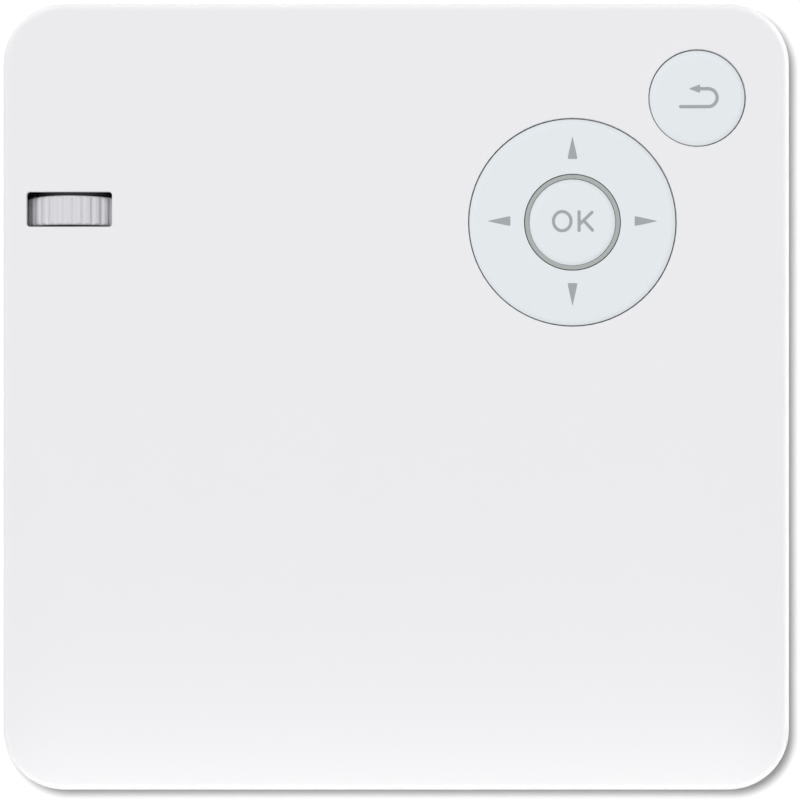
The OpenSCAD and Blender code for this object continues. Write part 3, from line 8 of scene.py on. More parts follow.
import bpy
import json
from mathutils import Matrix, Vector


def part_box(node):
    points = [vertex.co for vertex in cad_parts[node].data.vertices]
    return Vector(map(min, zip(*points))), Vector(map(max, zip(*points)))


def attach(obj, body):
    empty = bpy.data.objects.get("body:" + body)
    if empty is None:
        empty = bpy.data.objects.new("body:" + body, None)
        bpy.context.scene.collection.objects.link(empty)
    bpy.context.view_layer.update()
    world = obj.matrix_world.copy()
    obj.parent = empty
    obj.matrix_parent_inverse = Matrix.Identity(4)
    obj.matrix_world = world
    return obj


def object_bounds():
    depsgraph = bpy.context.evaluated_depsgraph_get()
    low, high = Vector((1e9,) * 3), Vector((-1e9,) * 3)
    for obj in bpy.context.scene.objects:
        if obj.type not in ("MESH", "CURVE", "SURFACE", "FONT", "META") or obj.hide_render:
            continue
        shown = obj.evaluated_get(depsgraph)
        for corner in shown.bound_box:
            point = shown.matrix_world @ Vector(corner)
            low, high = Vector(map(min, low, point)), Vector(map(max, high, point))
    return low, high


bl_info = {
    "name": "Pocket projector looks",
    "version": (1, 0, 0),
    "blender": (4, 5, 0),
    "location": "3D View > Sidebar > Projector",
    "description": "Finishes, key legends, fittings and studio of a pocket projector",
    "category": "Object",
}

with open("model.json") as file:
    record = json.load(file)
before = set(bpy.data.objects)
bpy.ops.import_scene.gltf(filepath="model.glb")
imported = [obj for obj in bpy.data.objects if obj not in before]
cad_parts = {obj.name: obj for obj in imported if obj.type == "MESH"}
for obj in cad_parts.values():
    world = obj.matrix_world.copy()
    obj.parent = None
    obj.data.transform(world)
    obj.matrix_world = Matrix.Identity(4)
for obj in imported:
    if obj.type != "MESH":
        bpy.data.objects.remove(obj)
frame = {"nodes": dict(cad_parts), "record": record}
# The CAD model's own box, taken before any piece is added
cad_box = [list(corner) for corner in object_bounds()]

import json
import math
import random

import bmesh
import bpy
from bpy.props import FloatProperty, FloatVectorProperty, IntProperty, PointerProperty
from mathutils import Matrix, Vector

MM = 0.001
# How far the widest outline of the case lies below the focus wheel's crown
EDGE_DROP = 1.6 * MM
# Faces that meet at less than this angle, in radians, are shaded as one surface
SMOOTH_ANGLE = 0.6


def length(name, description, default_mm):
    """A size property, given in millimetres and kept in metres."""
    return FloatProperty(name=name, description=description, default=default_mm * MM,
                         min=0.001 * MM, precision=5, unit="LENGTH")


def colour(name, description, default):
    """A colour property."""
    return FloatVectorProperty(name=name, description=description, default=default,
                               size=3, min=0.0, max=1.0, subtype="COLOR")


def span(node):
    """Lowest and highest corner of a CAD node's box."""
    low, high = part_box(node)
    return Vector(low), Vector(high)


def centre(node):
    """Middle of a CAD node's box, and the height of its top."""
    low, high = span(node)
    return Vector(((low.x + high.x) / 2, (low.y + high.y) / 2, high.z))


# ---- Sizes and colours ----


class PROJECTOR_PG_legends(bpy.types.PropertyGroup):
    """Sizes of the symbols printed on the keys."""

    rise: length("Ink rise", "Height of the ink above the key", 0.015)
    depth: length("Ink depth", "Thickness of the printed layer", 0.04)
    arrow_inner: length("Arrow start", "Distance of each arrow's base from the arrows' middle", 11.5)
    arrow_lift: length("Arrow lift", "Height of the arrows' middle above the pad's centre", 0.22)
    arrow_length: length("Arrow length", "Length of an arrow", 4.05)
    arrow_half: length("Arrow half width", "Half of the width of an arrow's base", 0.93)
    letter_height: length("Letter height", "Height of the letters on the middle key", 4.05)
    letter_stroke: length("Letter stroke", "Width of the letters' strokes", 0.57)
    letter_lift: length("Letter lift", "Height of the letters' middle above the key's centre", 0.2)
    round_width: length("Round letter width", "Width of the round letter", 3.82)
    round_left: length("Round letter place", "Distance of the round letter's middle to the left", 1.9)
    stem_right: length("Stem place", "Distance of the second letter's stem to the right", 0.93)
    arm_reach: length("Arm reach", "Width of the second letter", 3.15)
    bend_radius: length("Return bend", "Radius of the return symbol's bend", 1.66)
    bend_stroke: length("Return stroke", "Width of the return symbol's line", 0.61)
    bend_right: length("Return bend place", "Distance of the bend's middle to the right", 2.02)
    bend_lift: length("Return lift", "Height of the bend's middle above the key's centre", 0.06)
    bar_left: length("Return bar end", "Distance of the lower bar's end to the left", 3.09)
    head_right: length("Return head place", "Distance of the head's base to the right", 0.5)
    head_length: length("Return head length", "Length of the return symbol's head", 2.05)
    head_half: length("Return head half width", "Half of the width of its head", 0.8)


class PROJECTOR_PG_fittings(bpy.types.PropertyGroup):
    """Sizes of the fittings at the sockets and in the drive."""

    tripod_pitch: length("Tripod thread pitch", "Pitch of the tripod thread", 1.27)
    tripod_minor: length("Tripod thread crest", "Radius of the tripod thread's crests", 2.62)
    lead_pitch: length("Lead screw pitch", "Pitch of the pickup's lead screw", 3.0)
    lead_rise: length("Lead screw ridge", "Height of the lead screw's ridge", 0.1)
    contact_thick: length("Contact thickness", "Thickness of a socket's contact", 0.06)
    part_long: length("Small part length", "Length of a small board part", 1.6)
    part_wide: length("Small part width", "Width of a small board part", 0.8)
    main_parts: IntProperty(name="Main board parts", description="Small parts on the main board",
                            default=44, min=0, max=200)
    drive_parts: IntProperty(name="Drive board parts", description="Small parts on the drive board",
                             default=16, min=0, max=80)


class PROJECTOR_PG_colours(bpy.types.PropertyGroup):
    """Colours of the finishes."""

    shell: colour("Case", "Moulded case and tray bezel", (0.815, 0.815, 0.835))
    key: colour("Keys", "Moulded keys", (0.753, 0.795, 0.820))
    ring: colour("Key ring", "Ring round the middle key", (0.384, 0.409, 0.401))
    ink: colour("Key ink", "Symbols on the keys", (0.346, 0.368, 0.384))
    wheel: colour("Focus wheel", "Moulded focus wheel", (0.68, 0.676, 0.705))
    trim: colour("Trim", "Lens bezel, barrel and slide key", (0.022, 0.022, 0.025))
    tray: colour("Disc tray", "Moulded disc tray and sled", (0.026, 0.026, 0.029))
    alloy: colour("Cast alloy", "Coated alloy of the light engine", (0.055, 0.056, 0.062))
    rubber: colour("Rubber", "Feet and disc grip", (0.03, 0.03, 0.032))
    steel: colour("Steel", "Plated steel", (0.56, 0.56, 0.58))
    sheet: colour("Sheet steel", "Zinc-plated sheet", (0.5, 0.51, 0.53))
    hub: colour("Hub", "Plastic of the turntable", (0.085, 0.085, 0.09))
    aluminium: colour("Aluminium", "Heat sinks and plates", (0.68, 0.69, 0.7))
    copper: colour("Copper", "Heat pipe and windings", (0.72, 0.36, 0.22))
    brass: colour("Brass", "Tripod insert", (0.72, 0.53, 0.22))
    board: colour("Circuit board", "Solder mask of the boards", (0.015, 0.12, 0.05))
    chip: colour("Chips", "Moulding compound", (0.02, 0.02, 0.021))
    glass: colour("Lens glass", "Tint of the lenses", (0.95, 0.975, 1.0))
    mirror: colour("Mirror coating", "Coating of the dichroic mirrors", (0.75, 0.5, 0.85))
    wrap: colour("Battery film", "Shrink film of the battery", (0.02, 0.06, 0.17))


class PROJECTOR_PG_studio(bpy.types.PropertyGroup):
    """Camera and lamps."""

    camera_height: length("Camera height", "Height of the camera above the case's edge", 291.4)
    pixel_pitch: length("Pixel pitch", "Size of a pixel at the case's edge", 0.186)
    aim: FloatVectorProperty(name="Camera place", description="Place of the camera over the case",
                             default=(0.71 * MM, -0.67 * MM), size=2, unit="LENGTH", precision=5)
    key_light: FloatProperty(name="Key light", description="Light of the main lamp on a level sheet",
                             default=0.725, min=0.0, max=4.0)
    key_slope: FloatProperty(name="Key slope", description="Lean of the main lamp to each side",
                             default=0.12, min=0.0, max=2.0)
    key_soft: FloatProperty(name="Key softness", description="Angle that the main lamp fills",
                            default=math.radians(75.0), min=0.0, max=math.pi, subtype="ANGLE")
    fill: FloatProperty(name="Fill", description="Light of the surroundings", default=0.245,
                        min=0.0, max=4.0)
    shadow_shift: length("Shadow shift", "Distance of the floor's lamp from the camera, each way", 8.3)
    shadow_soft: length("Shadow softness", "Radius of the floor's lamp", 8.5)
    rim: FloatProperty(name="Rim light", description="Power of a strip at the case's edge",
                       default=0.004, min=0.0, max=4.0)


GROUPS = {
    "projector_legends": PROJECTOR_PG_legends,
    "projector_fittings": PROJECTOR_PG_fittings,
    "projector_colours": PROJECTOR_PG_colours,
    "projector_studio": PROJECTOR_PG_studio,
}


# ---- Shader arithmetic ----


class Wire:
    """A shader socket that can be added, scaled and compared."""

    def __init__(self, tree, socket=None):
        self.tree = tree
        self.socket = socket

    def node(self, kind, settings=None, inputs=None, output=0):
        """Adds a node: its settings first, then its inputs. Returns one of its outputs."""
        made = self.tree.nodes.new(kind)
        for key, value in (settings or {}).items():
            setattr(made, key, value)
        for key, value in (inputs or {}).items():
            if isinstance(value, Wire):
                self.tree.links.new(value.socket, made.inputs[key])
            else:
                made.inputs[key].default_value = value
        return None if output is None else Wire(self.tree, made.outputs[output])

    def beside(self, output):
        """Another output of the node that this socket belongs to."""
        return Wire(self.tree, self.socket.node.outputs[output])

    def sum(self, operation, first, second):
        """A Math node between two values."""
        return self.node("ShaderNodeMath", {"operation": operation}, {0: first, 1: second})

    def __add__(self, other):
        return self.sum("ADD", self, other)

    def __radd__(self, other):
        return self.sum("ADD", other, self)

    def __sub__(self, other):
        return self.sum("SUBTRACT", self, other)

    def __rsub__(self, other):
        return self.sum("SUBTRACT", other, self)

    def __mul__(self, other):
        return self.sum("MULTIPLY", self, other)

    def __truediv__(self, other):
        return self.sum("DIVIDE", self, other)

    def __gt__(self, other):
        return self.sum("GREATER_THAN", self, other)

    def __lt__(self, other):
        return self.sum("LESS_THAN", self, other)

    def place(self, stretch=(1.0, 1.0, 1.0)):
        """Where a point lies on the part, stretched along each axis."""
        at = self.node("ShaderNodeTexCoord", output="Object")
        return self.node("ShaderNodeVectorMath", {"operation": "MULTIPLY"}, {0: at, 1: stretch})

    def noise(self, at, size, detail=2.0, rough=0.5):
        """Clouds of about this size, from 0 to 1."""
        return self.node("ShaderNodeTexNoise", None, {"Vector": at, "Scale": 1 / size,
                                                      "Detail": detail, "Roughness": rough})

    def cells(self, at, size):
        """Distance from the middle of irregular cells."""
        return self.node("ShaderNodeTexVoronoi", {"feature": "F1"},
                         {"Vector": at, "Scale": 1 / size}, "Distance")

    def spread(self, low, high, to_low=0.0, to_high=1.0):
        """This value, with low to high stretched over another range."""
        return self.node("ShaderNodeMapRange", None, {
            "Value": self, "From Min": low, "From Max": high,
            "To Min": to_low, "To Max": to_high})

    def blend(self, first, second):
        """A colour between two, with this value as the share of the second."""
        def full(value):
            return value if isinstance(value, Wire) else (*value[:3], 1.0)
        return self.node("ShaderNodeMix", {"data_type": "RGBA"},
                         {0: self, 6: full(first), 7: full(second)}, 2)

    def tint(self, base, amount):
        """The base colour, lighter and darker by this much as the value changes."""
        dark = [channel * (1 - amount) for channel in base]
        light = [min(1.0, channel * (1 + amount)) for channel in base]
        return self.blend(dark, light)

    def soft_edge(self, radius):
        """Normals that turn softly over the sharp edges."""
        return self.node("ShaderNodeBevel", {"samples": 4}, {"Radius": radius})

    def edges(self, radius):
        """1 along sharp edges and 0 on flat places."""
        facing = self.node("ShaderNodeNewGeometry", output="Normal")
        same = self.node("ShaderNodeVectorMath", {"operation": "DOT_PRODUCT"},
                         {0: self.soft_edge(radius), 1: facing}, "Value")
        return (1 - same).spread(0.02, 0.25)

    def bump(self, height, depth, normal=None):
        """Normals of a surface with this height, scaled to a depth."""
        inputs = {"Height": height, "Distance": depth, "Strength": 1.0}
        if normal is not None:
            inputs["Normal"] = normal
        return self.node("ShaderNodeBump", None, inputs)


def material(name, uniform, varying):
    """A principled material with set values and wired ones."""
    made = bpy.data.materials.new(name)
    made.use_nodes = True
    tree = made.node_tree
    shader = tree.nodes["Principled BSDF"]
    for key, value in uniform.items():
        shader.inputs[key].default_value = value
    for key, wire in varying(Wire(tree)).items():
        tree.links.new(wire.socket, shader.inputs[key])
    return made


# ---- Finishes ----


def moulded(name, base, rough, grain=0.25, depth=0.004, mottle=0.012, worn=0.0, edge=0.12,
            **uniform):
    """Moulded plastic or rubber: fine grain, faint mottling and rubbed edges."""
    def varying(root):
        at = root.place()
        cloud = root.noise(at, 14 * MM, 3.0)
        fine = root.noise(at, grain * MM, 2.0, 0.6)
        rub = root.noise(at, 5 * MM, 4.0, 0.65)
        base_colour = cloud.tint(base, mottle)
        if worn:
            light = [min(1.0, channel + worn) for channel in base]
            base_colour = (root.edges(edge * MM) * rub.spread(0.35, 0.7)).blend(base_colour, light)
        return {
            "Base Color": base_colour,
            "Roughness": rough + (rub - 0.5) * 0.12 + (fine - 0.5) * 0.05,
            "Normal": root.bump(fine, depth * MM, root.soft_edge(edge * MM)),
        }
    return material(name, uniform, varying)


def metal(name, base, rough, stretch=(1.0, 1.0, 1.0), grain=0.4, stain=0.06):
    """Worked metal: drawn or brushed lines, stains and bright edges."""
    depth, edge = 0.002, 0.08

    def varying(root):
        lines = root.noise(root.place(stretch), grain * MM, 3.0, 0.7)
        at = root.place()
        cloud = root.noise(at, 9 * MM, 4.0, 0.6)
        spots = root.noise(at, 1.1 * MM, 2.0)
        bright = [min(1.0, channel * 1.18) for channel in base]
        dull = (cloud * 0.7 + lines * 0.3).tint(base, stain)
        return {
            "Base Color": root.edges(edge * MM).blend(dull, bright),
            "Roughness": rough + (cloud - 0.5) * 0.16 + (spots - 0.5) * 0.05,
            "Normal": root.bump(lines, depth * MM, root.soft_edge(edge * MM)),
        }
    return material(name, {"Metallic": 1.0}, varying)


def turned(name, base, rough):
    """Metal turned on a lathe, with fine rings round its axis."""
    pitch = 0.12

    def varying(root):
        at = root.place()
        rings = root.node("ShaderNodeTexWave", {"wave_type": "RINGS", "rings_direction": "Z"}, {
            "Vector": at, "Scale": 0.05 / (pitch * MM), "Distortion": 0.3, "Detail": 1.0}, 1)
        cloud = root.noise(at, 3 * MM, 3.0)
        return {
            "Base Color": cloud.tint(base, 0.09),
            "Roughness": rough + (cloud - 0.5) * 0.2,
            "Normal": root.bump(rings, 0.003 * MM, root.soft_edge(0.08 * MM)),
        }
    return material(name, {"Metallic": 1.0}, varying)


def galvanised(name, base):
    """Zinc-plated sheet with a faint crystal pattern and rolling lines."""
    def varying(root):
        at = root.place()
        shades = root.node("ShaderNodeTexVoronoi", {"feature": "SMOOTH_F1"}, {
            "Vector": at, "Scale": 1 / (3.2 * MM), "Smoothness": 0.4}, "Color")
        share = root.node("ShaderNodeSeparateColor", None, {"Color": shades})
        lines = root.noise(root.place((1.0, 22.0, 1.0)), 4 * MM, 3.0)
        return {
            "Base Color": share.tint(base, 0.07),
            "Roughness": 0.3 + share * 0.12 + (lines - 0.5) * 0.1,
            "Normal": root.bump(lines, 0.002 * MM, root.soft_edge(0.15 * MM)),
        }
    return material(name, {"Metallic": 1.0}, varying)


def printed_board(name, mask, track, rough=0.34):
    """A circuit board: tracks that show under the mask, and tinned dots."""
    def varying(root):
        at = root.place()
        along = root.node("ShaderNodeSeparateXYZ", None, {"Vector": at})
        across = along.beside(1)
        run = root.node("ShaderNodeTexBrick", {"offset": 0.37, "squash": 0.6}, {
            "Vector": at, "Scale": 1 / (9 * MM), "Mortar Size": 0.035, "Mortar Smooth": 0.1,
            "Brick Width": 0.62, "Row Height": 0.11}, 1)
        cross = root.node("ShaderNodeTexBrick", {"offset": 0.61}, {
            "Vector": root.node("ShaderNodeCombineXYZ", None, {0: across, 1: along}),
            "Scale": 1 / (13 * MM), "Mortar Size": 0.03, "Mortar Smooth": 0.1,
            "Brick Width": 0.8, "Row Height": 0.13}, 1)
        zone = root.noise(at, 16 * MM, 1.0) > 0.5
        lines = run * zone + cross * (1 - zone)
        dots = root.cells(at, 2.6 * MM) < 0.11
        green = lines.blend(mask, track)
        return {
            "Base Color": dots.blend(green, (0.62, 0.6, 0.55)),
            "Metallic": dots * 0.9,
            "Roughness": rough + dots * 0.1 + root.noise(at, 2 * MM) * 0.06,
            "Normal": root.bump(lines * 0.5 + dots, 0.02 * MM),
        }
    return material(name, {"Coat Weight": 0.3, "Coat Roughness": 0.2}, varying)


def lens(name, tint, film, index=1.52):
    """Coated optical glass, with a coating whose tint drifts across it."""
    def varying(root):
        at = root.place()
        dust = root.noise(at, 0.3 * MM, 3.0).spread(0.62, 0.8)
        return {
            "Base Color": root.noise(at, 12 * MM).tint(tint, 0.03),
            "Roughness": dust * 0.12,
        }
    return material(name, {"Transmission Weight": 1.0, "IOR": index,
                           "Coat Weight": 0.6, "Coat Roughness": 0.02, "Coat Tint": (*film, 1.0),
                           "Specular Tint": (*film, 1.0)}, varying)


def wrapped(name, base):
    """Shrink film with soft wrinkles, pulled tight at the edges."""
    def varying(root):
        folds = root.noise(root.place((1.0, 0.25, 1.0)), 5 * MM, 3.0, 0.6)
        fine = root.noise(root.place(), 0.6 * MM, 2.0)
        return {
            "Base Color": folds.tint(base, 0.12),
            "Roughness": 0.2 + folds * 0.18,
            "Normal": root.bump(folds * 0.8 + fine * 0.1, 0.25 * MM),
        }
    return material(name, {"Coat Weight": 0.5, "Coat Roughness": 0.08}, varying)


def make_finishes(tones):
    """Every material, by the name of its slot or of the extra finish."""
    tone = {key: tuple(getattr(tones, key)) for key in tones.__annotations__}
    return {
        "white_shell": moulded("white_shell", tone["shell"], 0.42, depth=0.0022, mottle=0.004,
                               edge=0.25, **{"Coat Weight": 0.15, "Coat Roughness": 0.25}),
        "white_key": moulded("white_key", tone["key"], 0.36, grain=0.2, depth=0.0016, mottle=0.005,
                             edge=0.2, **{"Coat Weight": 0.2, "Coat Roughness": 0.2}),
        "grey_ring": moulded("grey_ring", tone["ring"], 0.4, mottle=0.02),
        "wheel_grey": moulded("wheel_grey", tone["wheel"], 0.45, grain=0.18, mottle=0.03, edge=0.45),
        "black_trim": moulded("black_trim", tone["trim"], 0.5, worn=0.03, depth=0.006),
        "black_tray": moulded("black_tray", tone["tray"], 0.48, grain=0.4, worn=0.03, depth=0.008,
                              mottle=0.08),
        "dark_alloy": moulded("dark_alloy", tone["alloy"], 0.46, grain=0.6, worn=0.12, depth=0.015,
                              mottle=0.1, **{"Metallic": 0.4}),
        "soft_rubber": moulded("soft_rubber", tone["rubber"], 0.78, grain=0.35, worn=0.03,
                               depth=0.02, mottle=0.15),
        "bright_steel": metal("bright_steel", tone["steel"], 0.24, (1.0, 14.0, 1.0)),
        "sheet_steel": galvanised("sheet_steel", tone["sheet"]),
        "hub_plastic": moulded("hub_plastic", tone["hub"], 0.4, worn=0.05, mottle=0.06),
        "heat_alloy": metal("heat_alloy", tone["aluminium"], 0.34, (18.0, 1.0, 1.0), grain=0.6),
        "copper": metal("copper", tone["copper"], 0.3, (1.0, 10.0, 1.0), stain=0.16),
        "yellow_brass": turned("yellow_brass", tone["brass"], 0.28),
        "circuit_board": printed_board("circuit_board", tone["board"], (0.03, 0.22, 0.09)),
        "chip_black": moulded("chip_black", tone["chip"], 0.55, grain=0.12, worn=0.04, depth=0.01),
        "switch_metal": metal("switch_metal", tone["steel"], 0.32, (1.0, 8.0, 1.0), stain=0.1),
        "led_board": printed_board("led_board", (0.72, 0.72, 0.68), (0.62, 0.5, 0.32), 0.4),
        "lens_glass": lens("lens_glass", tone["glass"], (0.55, 0.6, 1.0)),
        "mirror_glass": lens("mirror_glass", tone["mirror"], (1.0, 0.55, 0.35), 1.8),
        "battery_wrap": wrapped("battery_wrap", tone["wrap"]),
        "key_ink": moulded("key_ink", tone["ink"], 0.5, grain=0.08, depth=0.002, mottle=0.02),
        "contact_gold": metal("contact_gold", (0.83, 0.6, 0.25), 0.22, stain=0.05),
        "part_ceramic": moulded("part_ceramic", (0.36, 0.27, 0.18), 0.5, worn=0.05),
        "lamp_window": moulded("lamp_window", (0.55, 0.6, 0.58), 0.25, mottle=0.03,
                               **{"Transmission Weight": 0.5}),
    }


def finish(name):
    """A material by its name: an extra finish, or the frame's plain one for a slot's name."""
    found = bpy.data.materials.get(name)
    if found is None:
        raise RuntimeError(f"make the finishes first: there is no {name}")
    return found


# ---- Mesh building ----


def rounded(corners, steps=6):
    """A closed outline from (x, y, radius) corners, each turned into an arc."""
    outline = []
    for i, (x, y, radius) in enumerate(corners):
        here = Vector((x, y))
        before = Vector(corners[i - 1][:2]) - here
        after = Vector(corners[(i + 1) % len(corners)][:2]) - here
        if radius <= 0:
            outline.append(here)
            continue
        half = before.angle(after) / 2
        reach = min(radius / math.tan(half), before.length / 2, after.length / 2)
        radius = reach * math.tan(half)
        before.normalize()
        after.normalize()
        middle = here + (before + after).normalized() * (radius / math.sin(half))
        start = here + before * reach - middle
        end = here + after * reach - middle
        first = math.atan2(start.y, start.x)
        turn = (math.atan2(end.y, end.x) - first + math.pi) % math.tau - math.pi
        for k in range(steps + 1):
            angle = first + turn * k / steps
            outline.append(middle + radius * Vector((math.cos(angle), math.sin(angle))))
    return outline


def rectangle(low_x, low_y, high_x, high_y, corner, steps=6):
    """A closed outline of a rectangle with rounded corners."""
    return rounded([(low_x, low_y, corner), (high_x, low_y, corner), (high_x, high_y, corner),
                    (low_x, high_y, corner)], steps)


def arc(middle, radius, first, last, steps):
    """Points along an arc, from one angle in radians to another."""
    angles = (first + (last - first) * i / steps for i in range(steps + 1))
    return [Vector((middle[0] + radius * math.cos(angle), middle[1] + radius * math.sin(angle)))
            for angle in angles]


def meet(point, direction, other, other_direction):
    """Where two straight lines cross, each given by a point and a direction."""
    across = direction.x * other_direction.y - direction.y * other_direction.x
    gap = other - point
    return point + direction * ((gap.x * other_direction.y - gap.y * other_direction.x) / across)


def skin(bm, rows):
    """Faces between rows of vertices, where each row is a closed loop."""
    count = len(rows[0])
    return [bm.faces.new((near[i], near[(i + 1) % count], far[(i + 1) % count], far[i]))
            for near, far in zip(rows, rows[1:]) for i in range(count)]


def capped(bm, rows):
    """Faces between rows, and one over each end."""
    return [bm.faces.new(list(reversed(rows[0]))), bm.faces.new(rows[-1])] + skin(bm, rows)


def loop(bm, outline, z, place):
    """A row of vertices over an outline, at one height."""
    return [bm.verts.new(place @ Vector((x, y, z))) for x, y in outline]


def prism(bm, outline, low, high, place=Matrix(), material_index=0):
    """A closed solid over an outline, from one height to another."""
    for face in capped(bm, [loop(bm, outline, z, place) for z in (low, high)]):
        face.material_index = material_index


def band(bm, outer, inner, low, high, place):
    """A closed ring between two outlines with the same number of points."""
    rows = [loop(bm, outline, z, place)
            for outline, z in ((outer, low), (outer, high), (inner, high), (inner, low))]
    skin(bm, rows + rows[:1])


def sideways(x, y=0, z=0):
    """Turns a prism's outline into the YZ plane, and its height along X."""
    return Matrix(((0, 0, 1, x), (1, 0, 0, y), (0, 1, 0, z), (0, 0, 0, 1)))


def lathe(bm, profile_mm, steps, place):
    """A ring of revolution about the local Z axis, from a closed profile of (radius, z)."""
    profile = [(r * MM, z * MM) for r, z in profile_mm]
    rows = [[bm.verts.new(place @ Vector((r * math.cos(a), r * math.sin(a), z)))
             for r, z in profile]
            for a in (math.tau * i / steps for i in range(steps))]
    skin(bm, rows + rows[:1])


def thread(bm, place, root, crest, pitch, turns, start, steps=40):
    """A ridge that winds about the local Z axis, closed and tapered at both ends."""
    total = int(steps * turns)
    half_root, half_crest = pitch * 0.44, pitch * 0.08
    taper = steps * 0.4
    rows = []
    for i in range(total + 1):
        angle = math.tau * i / steps
        z = start + pitch * i / steps
        grown = min(1.0, i / taper, (total - i) / taper)
        tip = root + (crest - root) * max(grown, 0.03)
        around = Vector((math.cos(angle), math.sin(angle), 0))
        section = ((root, -half_root), (tip, -half_crest), (tip, half_crest), (root, half_root))
        rows.append([bm.verts.new(place @ (around * r + Vector((0, 0, z + dz))))
                     for r, dz in section])
    capped(bm, rows)


def add_piece(name, bm, finishes, body, smooth=False):
    """Makes a piece that rides on a CAD body, with its faces turned outwards."""
    bmesh.ops.recalc_face_normals(bm, faces=bm.faces)
    mesh = bpy.data.meshes.new(name)
    bm.to_mesh(mesh)
    bm.free()
    for each in finishes:
        mesh.materials.append(finish(each))
    piece = bpy.data.objects.new(name, mesh)
    bpy.context.scene.collection.objects.link(piece)
    if smooth:
        mesh.shade_smooth()
        mesh.set_sharp_from_angle(angle=SMOOTH_ANGLE)
    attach(piece, body)


def ink(name, outlines, node, body, rings=()):
    """A printed symbol on a key: outlines lie about the key's centre."""
    sizes = bpy.context.scene.projector_legends
    middle = centre(node)
    low, high = sizes.rise - sizes.depth, sizes.rise
    bm = bmesh.new()
    for outline in outlines:
        prism(bm, outline, low, high, Matrix.Translation(middle))
    for outer, inner in rings:
        band(bm, outer, inner, low, high, Matrix.Translation(middle))
    add_piece(name, bm, ["key_ink"], body)


# ---- Operators ----


class PROJECTOR_OT_finishes(bpy.types.Operator):
    """Makes the finishes and gives each CAD part its own."""

    bl_idname = "projector.finishes"
    bl_label = "Finishes"

    def execute(self, context):
        made = make_finishes(context.scene.projector_colours)
        for part in frame["record"]["subparts"]:
            node = frame["nodes"][part["node"]]
            node.data.materials.clear()
            node.data.materials.append(made[part["material_slot"]])
        return {"FINISHED"}


class PROJECTOR_OT_pad_arrows(bpy.types.Operator):
    """Prints the four arrows on the direction pad."""

    bl_idname = "projector.pad_arrows"
    bl_label = "Pad arrows"

    def execute(self, context):
        sizes = context.scene.projector_legends
        base, half, long = sizes.arrow_inner, sizes.arrow_half, sizes.arrow_length
        # The sides bow out a little between the rounded corners and the blunt point
        steps, bow, corner, point = 8, 0.9, 0.2 * MM, 0.06 * MM
        side = [(half * (1 - i / steps) ** bow, base + long * i / steps, 0)
                for i in range(1, steps)]
        arrow = rounded(
            [(half, base, corner)] + side + [(point, base + long, 0), (-point, base + long, 0)]
            + [(-x, y, 0) for x, y, _ in reversed(side)] + [(-half, base, corner)])
        turns = [Matrix.Rotation(math.radians(90 * i), 2) for i in range(4)]
        middle = Vector((0, sizes.arrow_lift))
        ink("pad_arrows", [[middle + turn @ p for p in arrow] for turn in turns],
            "direction_pad", "direction_pad")
        return {"FINISHED"}


class PROJECTOR_OT_ok_letters(bpy.types.Operator):
    """Prints the two letters on the middle key."""

    bl_idname = "projector.ok_letters"
    bl_label = "OK letters"

    def execute(self, context):
        sizes = context.scene.projector_legends
        stroke, height = sizes.letter_stroke, sizes.letter_height
        # Round letter, which stands a little taller than the other
        middle = Vector((-sizes.round_left, sizes.letter_lift))
        oval = arc((0, 0), 1, 0, math.tau, 56)[:-1]
        overshoot = 0.03 * MM
        half = Vector((sizes.round_width / 2, height / 2 + overshoot))
        outer = [middle + Vector((p.x * half.x, p.y * half.y)) for p in oval]
        inner = [middle + Vector((p.x * (half.x - stroke), p.y * (half.y - stroke)))
                 for p in oval]
        # Letter with a stem and two arms, as one outline: the upper arm starts a third of
        # the way up the stem, and the lower one a third of the way along the upper one
        base = Vector((sizes.stem_right, sizes.letter_lift - height / 2))
        reach = sizes.arm_reach
        third = 0.33
        root = Vector((stroke / 2, height * third))
        arm = Vector((reach - stroke / 2, height - stroke / 3)) - root
        up = arm.normalized()
        up_side = Vector((up.y, -up.x)) * (stroke / 2)
        tip = root + arm
        fork = root + arm * third
        foot = Vector((reach - stroke / 3, stroke / 4))
        down = (foot - fork).normalized()
        down_side = Vector((down.y, -down.x)) * (stroke / 2)
        stem = Vector((stroke, 0))
        upright = Vector((0, 1))
        # Radius of an inner corner, and of a stroke's rounded end
        soft, full = 0.2 * stroke, 0.49 * stroke
        shape = [
            (Vector((0, 0)), full), (stem, full),
            (meet(stem, upright, tip + up_side, up), soft),
            (meet(tip + up_side, up, foot + down_side, down), soft),
            (foot + down_side, full), (foot - down_side, full),
            (meet(tip + up_side, up, foot - down_side, down), soft),
            (tip + up_side, full), (tip - up_side, full),
            (meet(stem, upright, tip - up_side, up), soft),
            (Vector((stroke, height)), full), (Vector((0, height)), full),
        ]
        letter = rounded([(base.x + p.x, base.y + p.y, r) for p, r in shape], 5)
        ink("ok_letters", [letter], "ok_key", "ok_key", [(outer, inner)])
        return {"FINISHED"}


class PROJECTOR_OT_return_symbol(bpy.types.Operator):
    """Prints the return symbol, a bar that bends back to an arrowhead."""

    bl_idname = "projector.return_symbol"
    bl_label = "Return symbol"

    def execute(self, context):
        sizes = context.scene.projector_legends
        radius, half = sizes.bend_radius, sizes.bend_stroke / 2
        bend = (sizes.bend_right, sizes.bend_lift)
        low, high = bend[1] - radius, bend[1] + radius
        head = sizes.head_right
        neck = head + 0.05 * MM
        corner, point = 0.1 * MM, 0.06 * MM
        right = math.pi / 2
        outline = (
            arc((-sizes.bar_left, low), half, right, 3 * right, 10)
            + arc(bend, radius + half, -right, right, 24)
            + [Vector((neck, high + half))]
            + rounded([(head, high + sizes.head_half, corner),
                       (head - sizes.head_length, high, point),
                       (head, high - sizes.head_half, corner)], 4)
            + [Vector((neck, high - half))]
            + arc(bend, radius - half, right, -right, 20))
        ink("return_symbol", [outline], "return_key", "return_key")
        return {"FINISHED"}


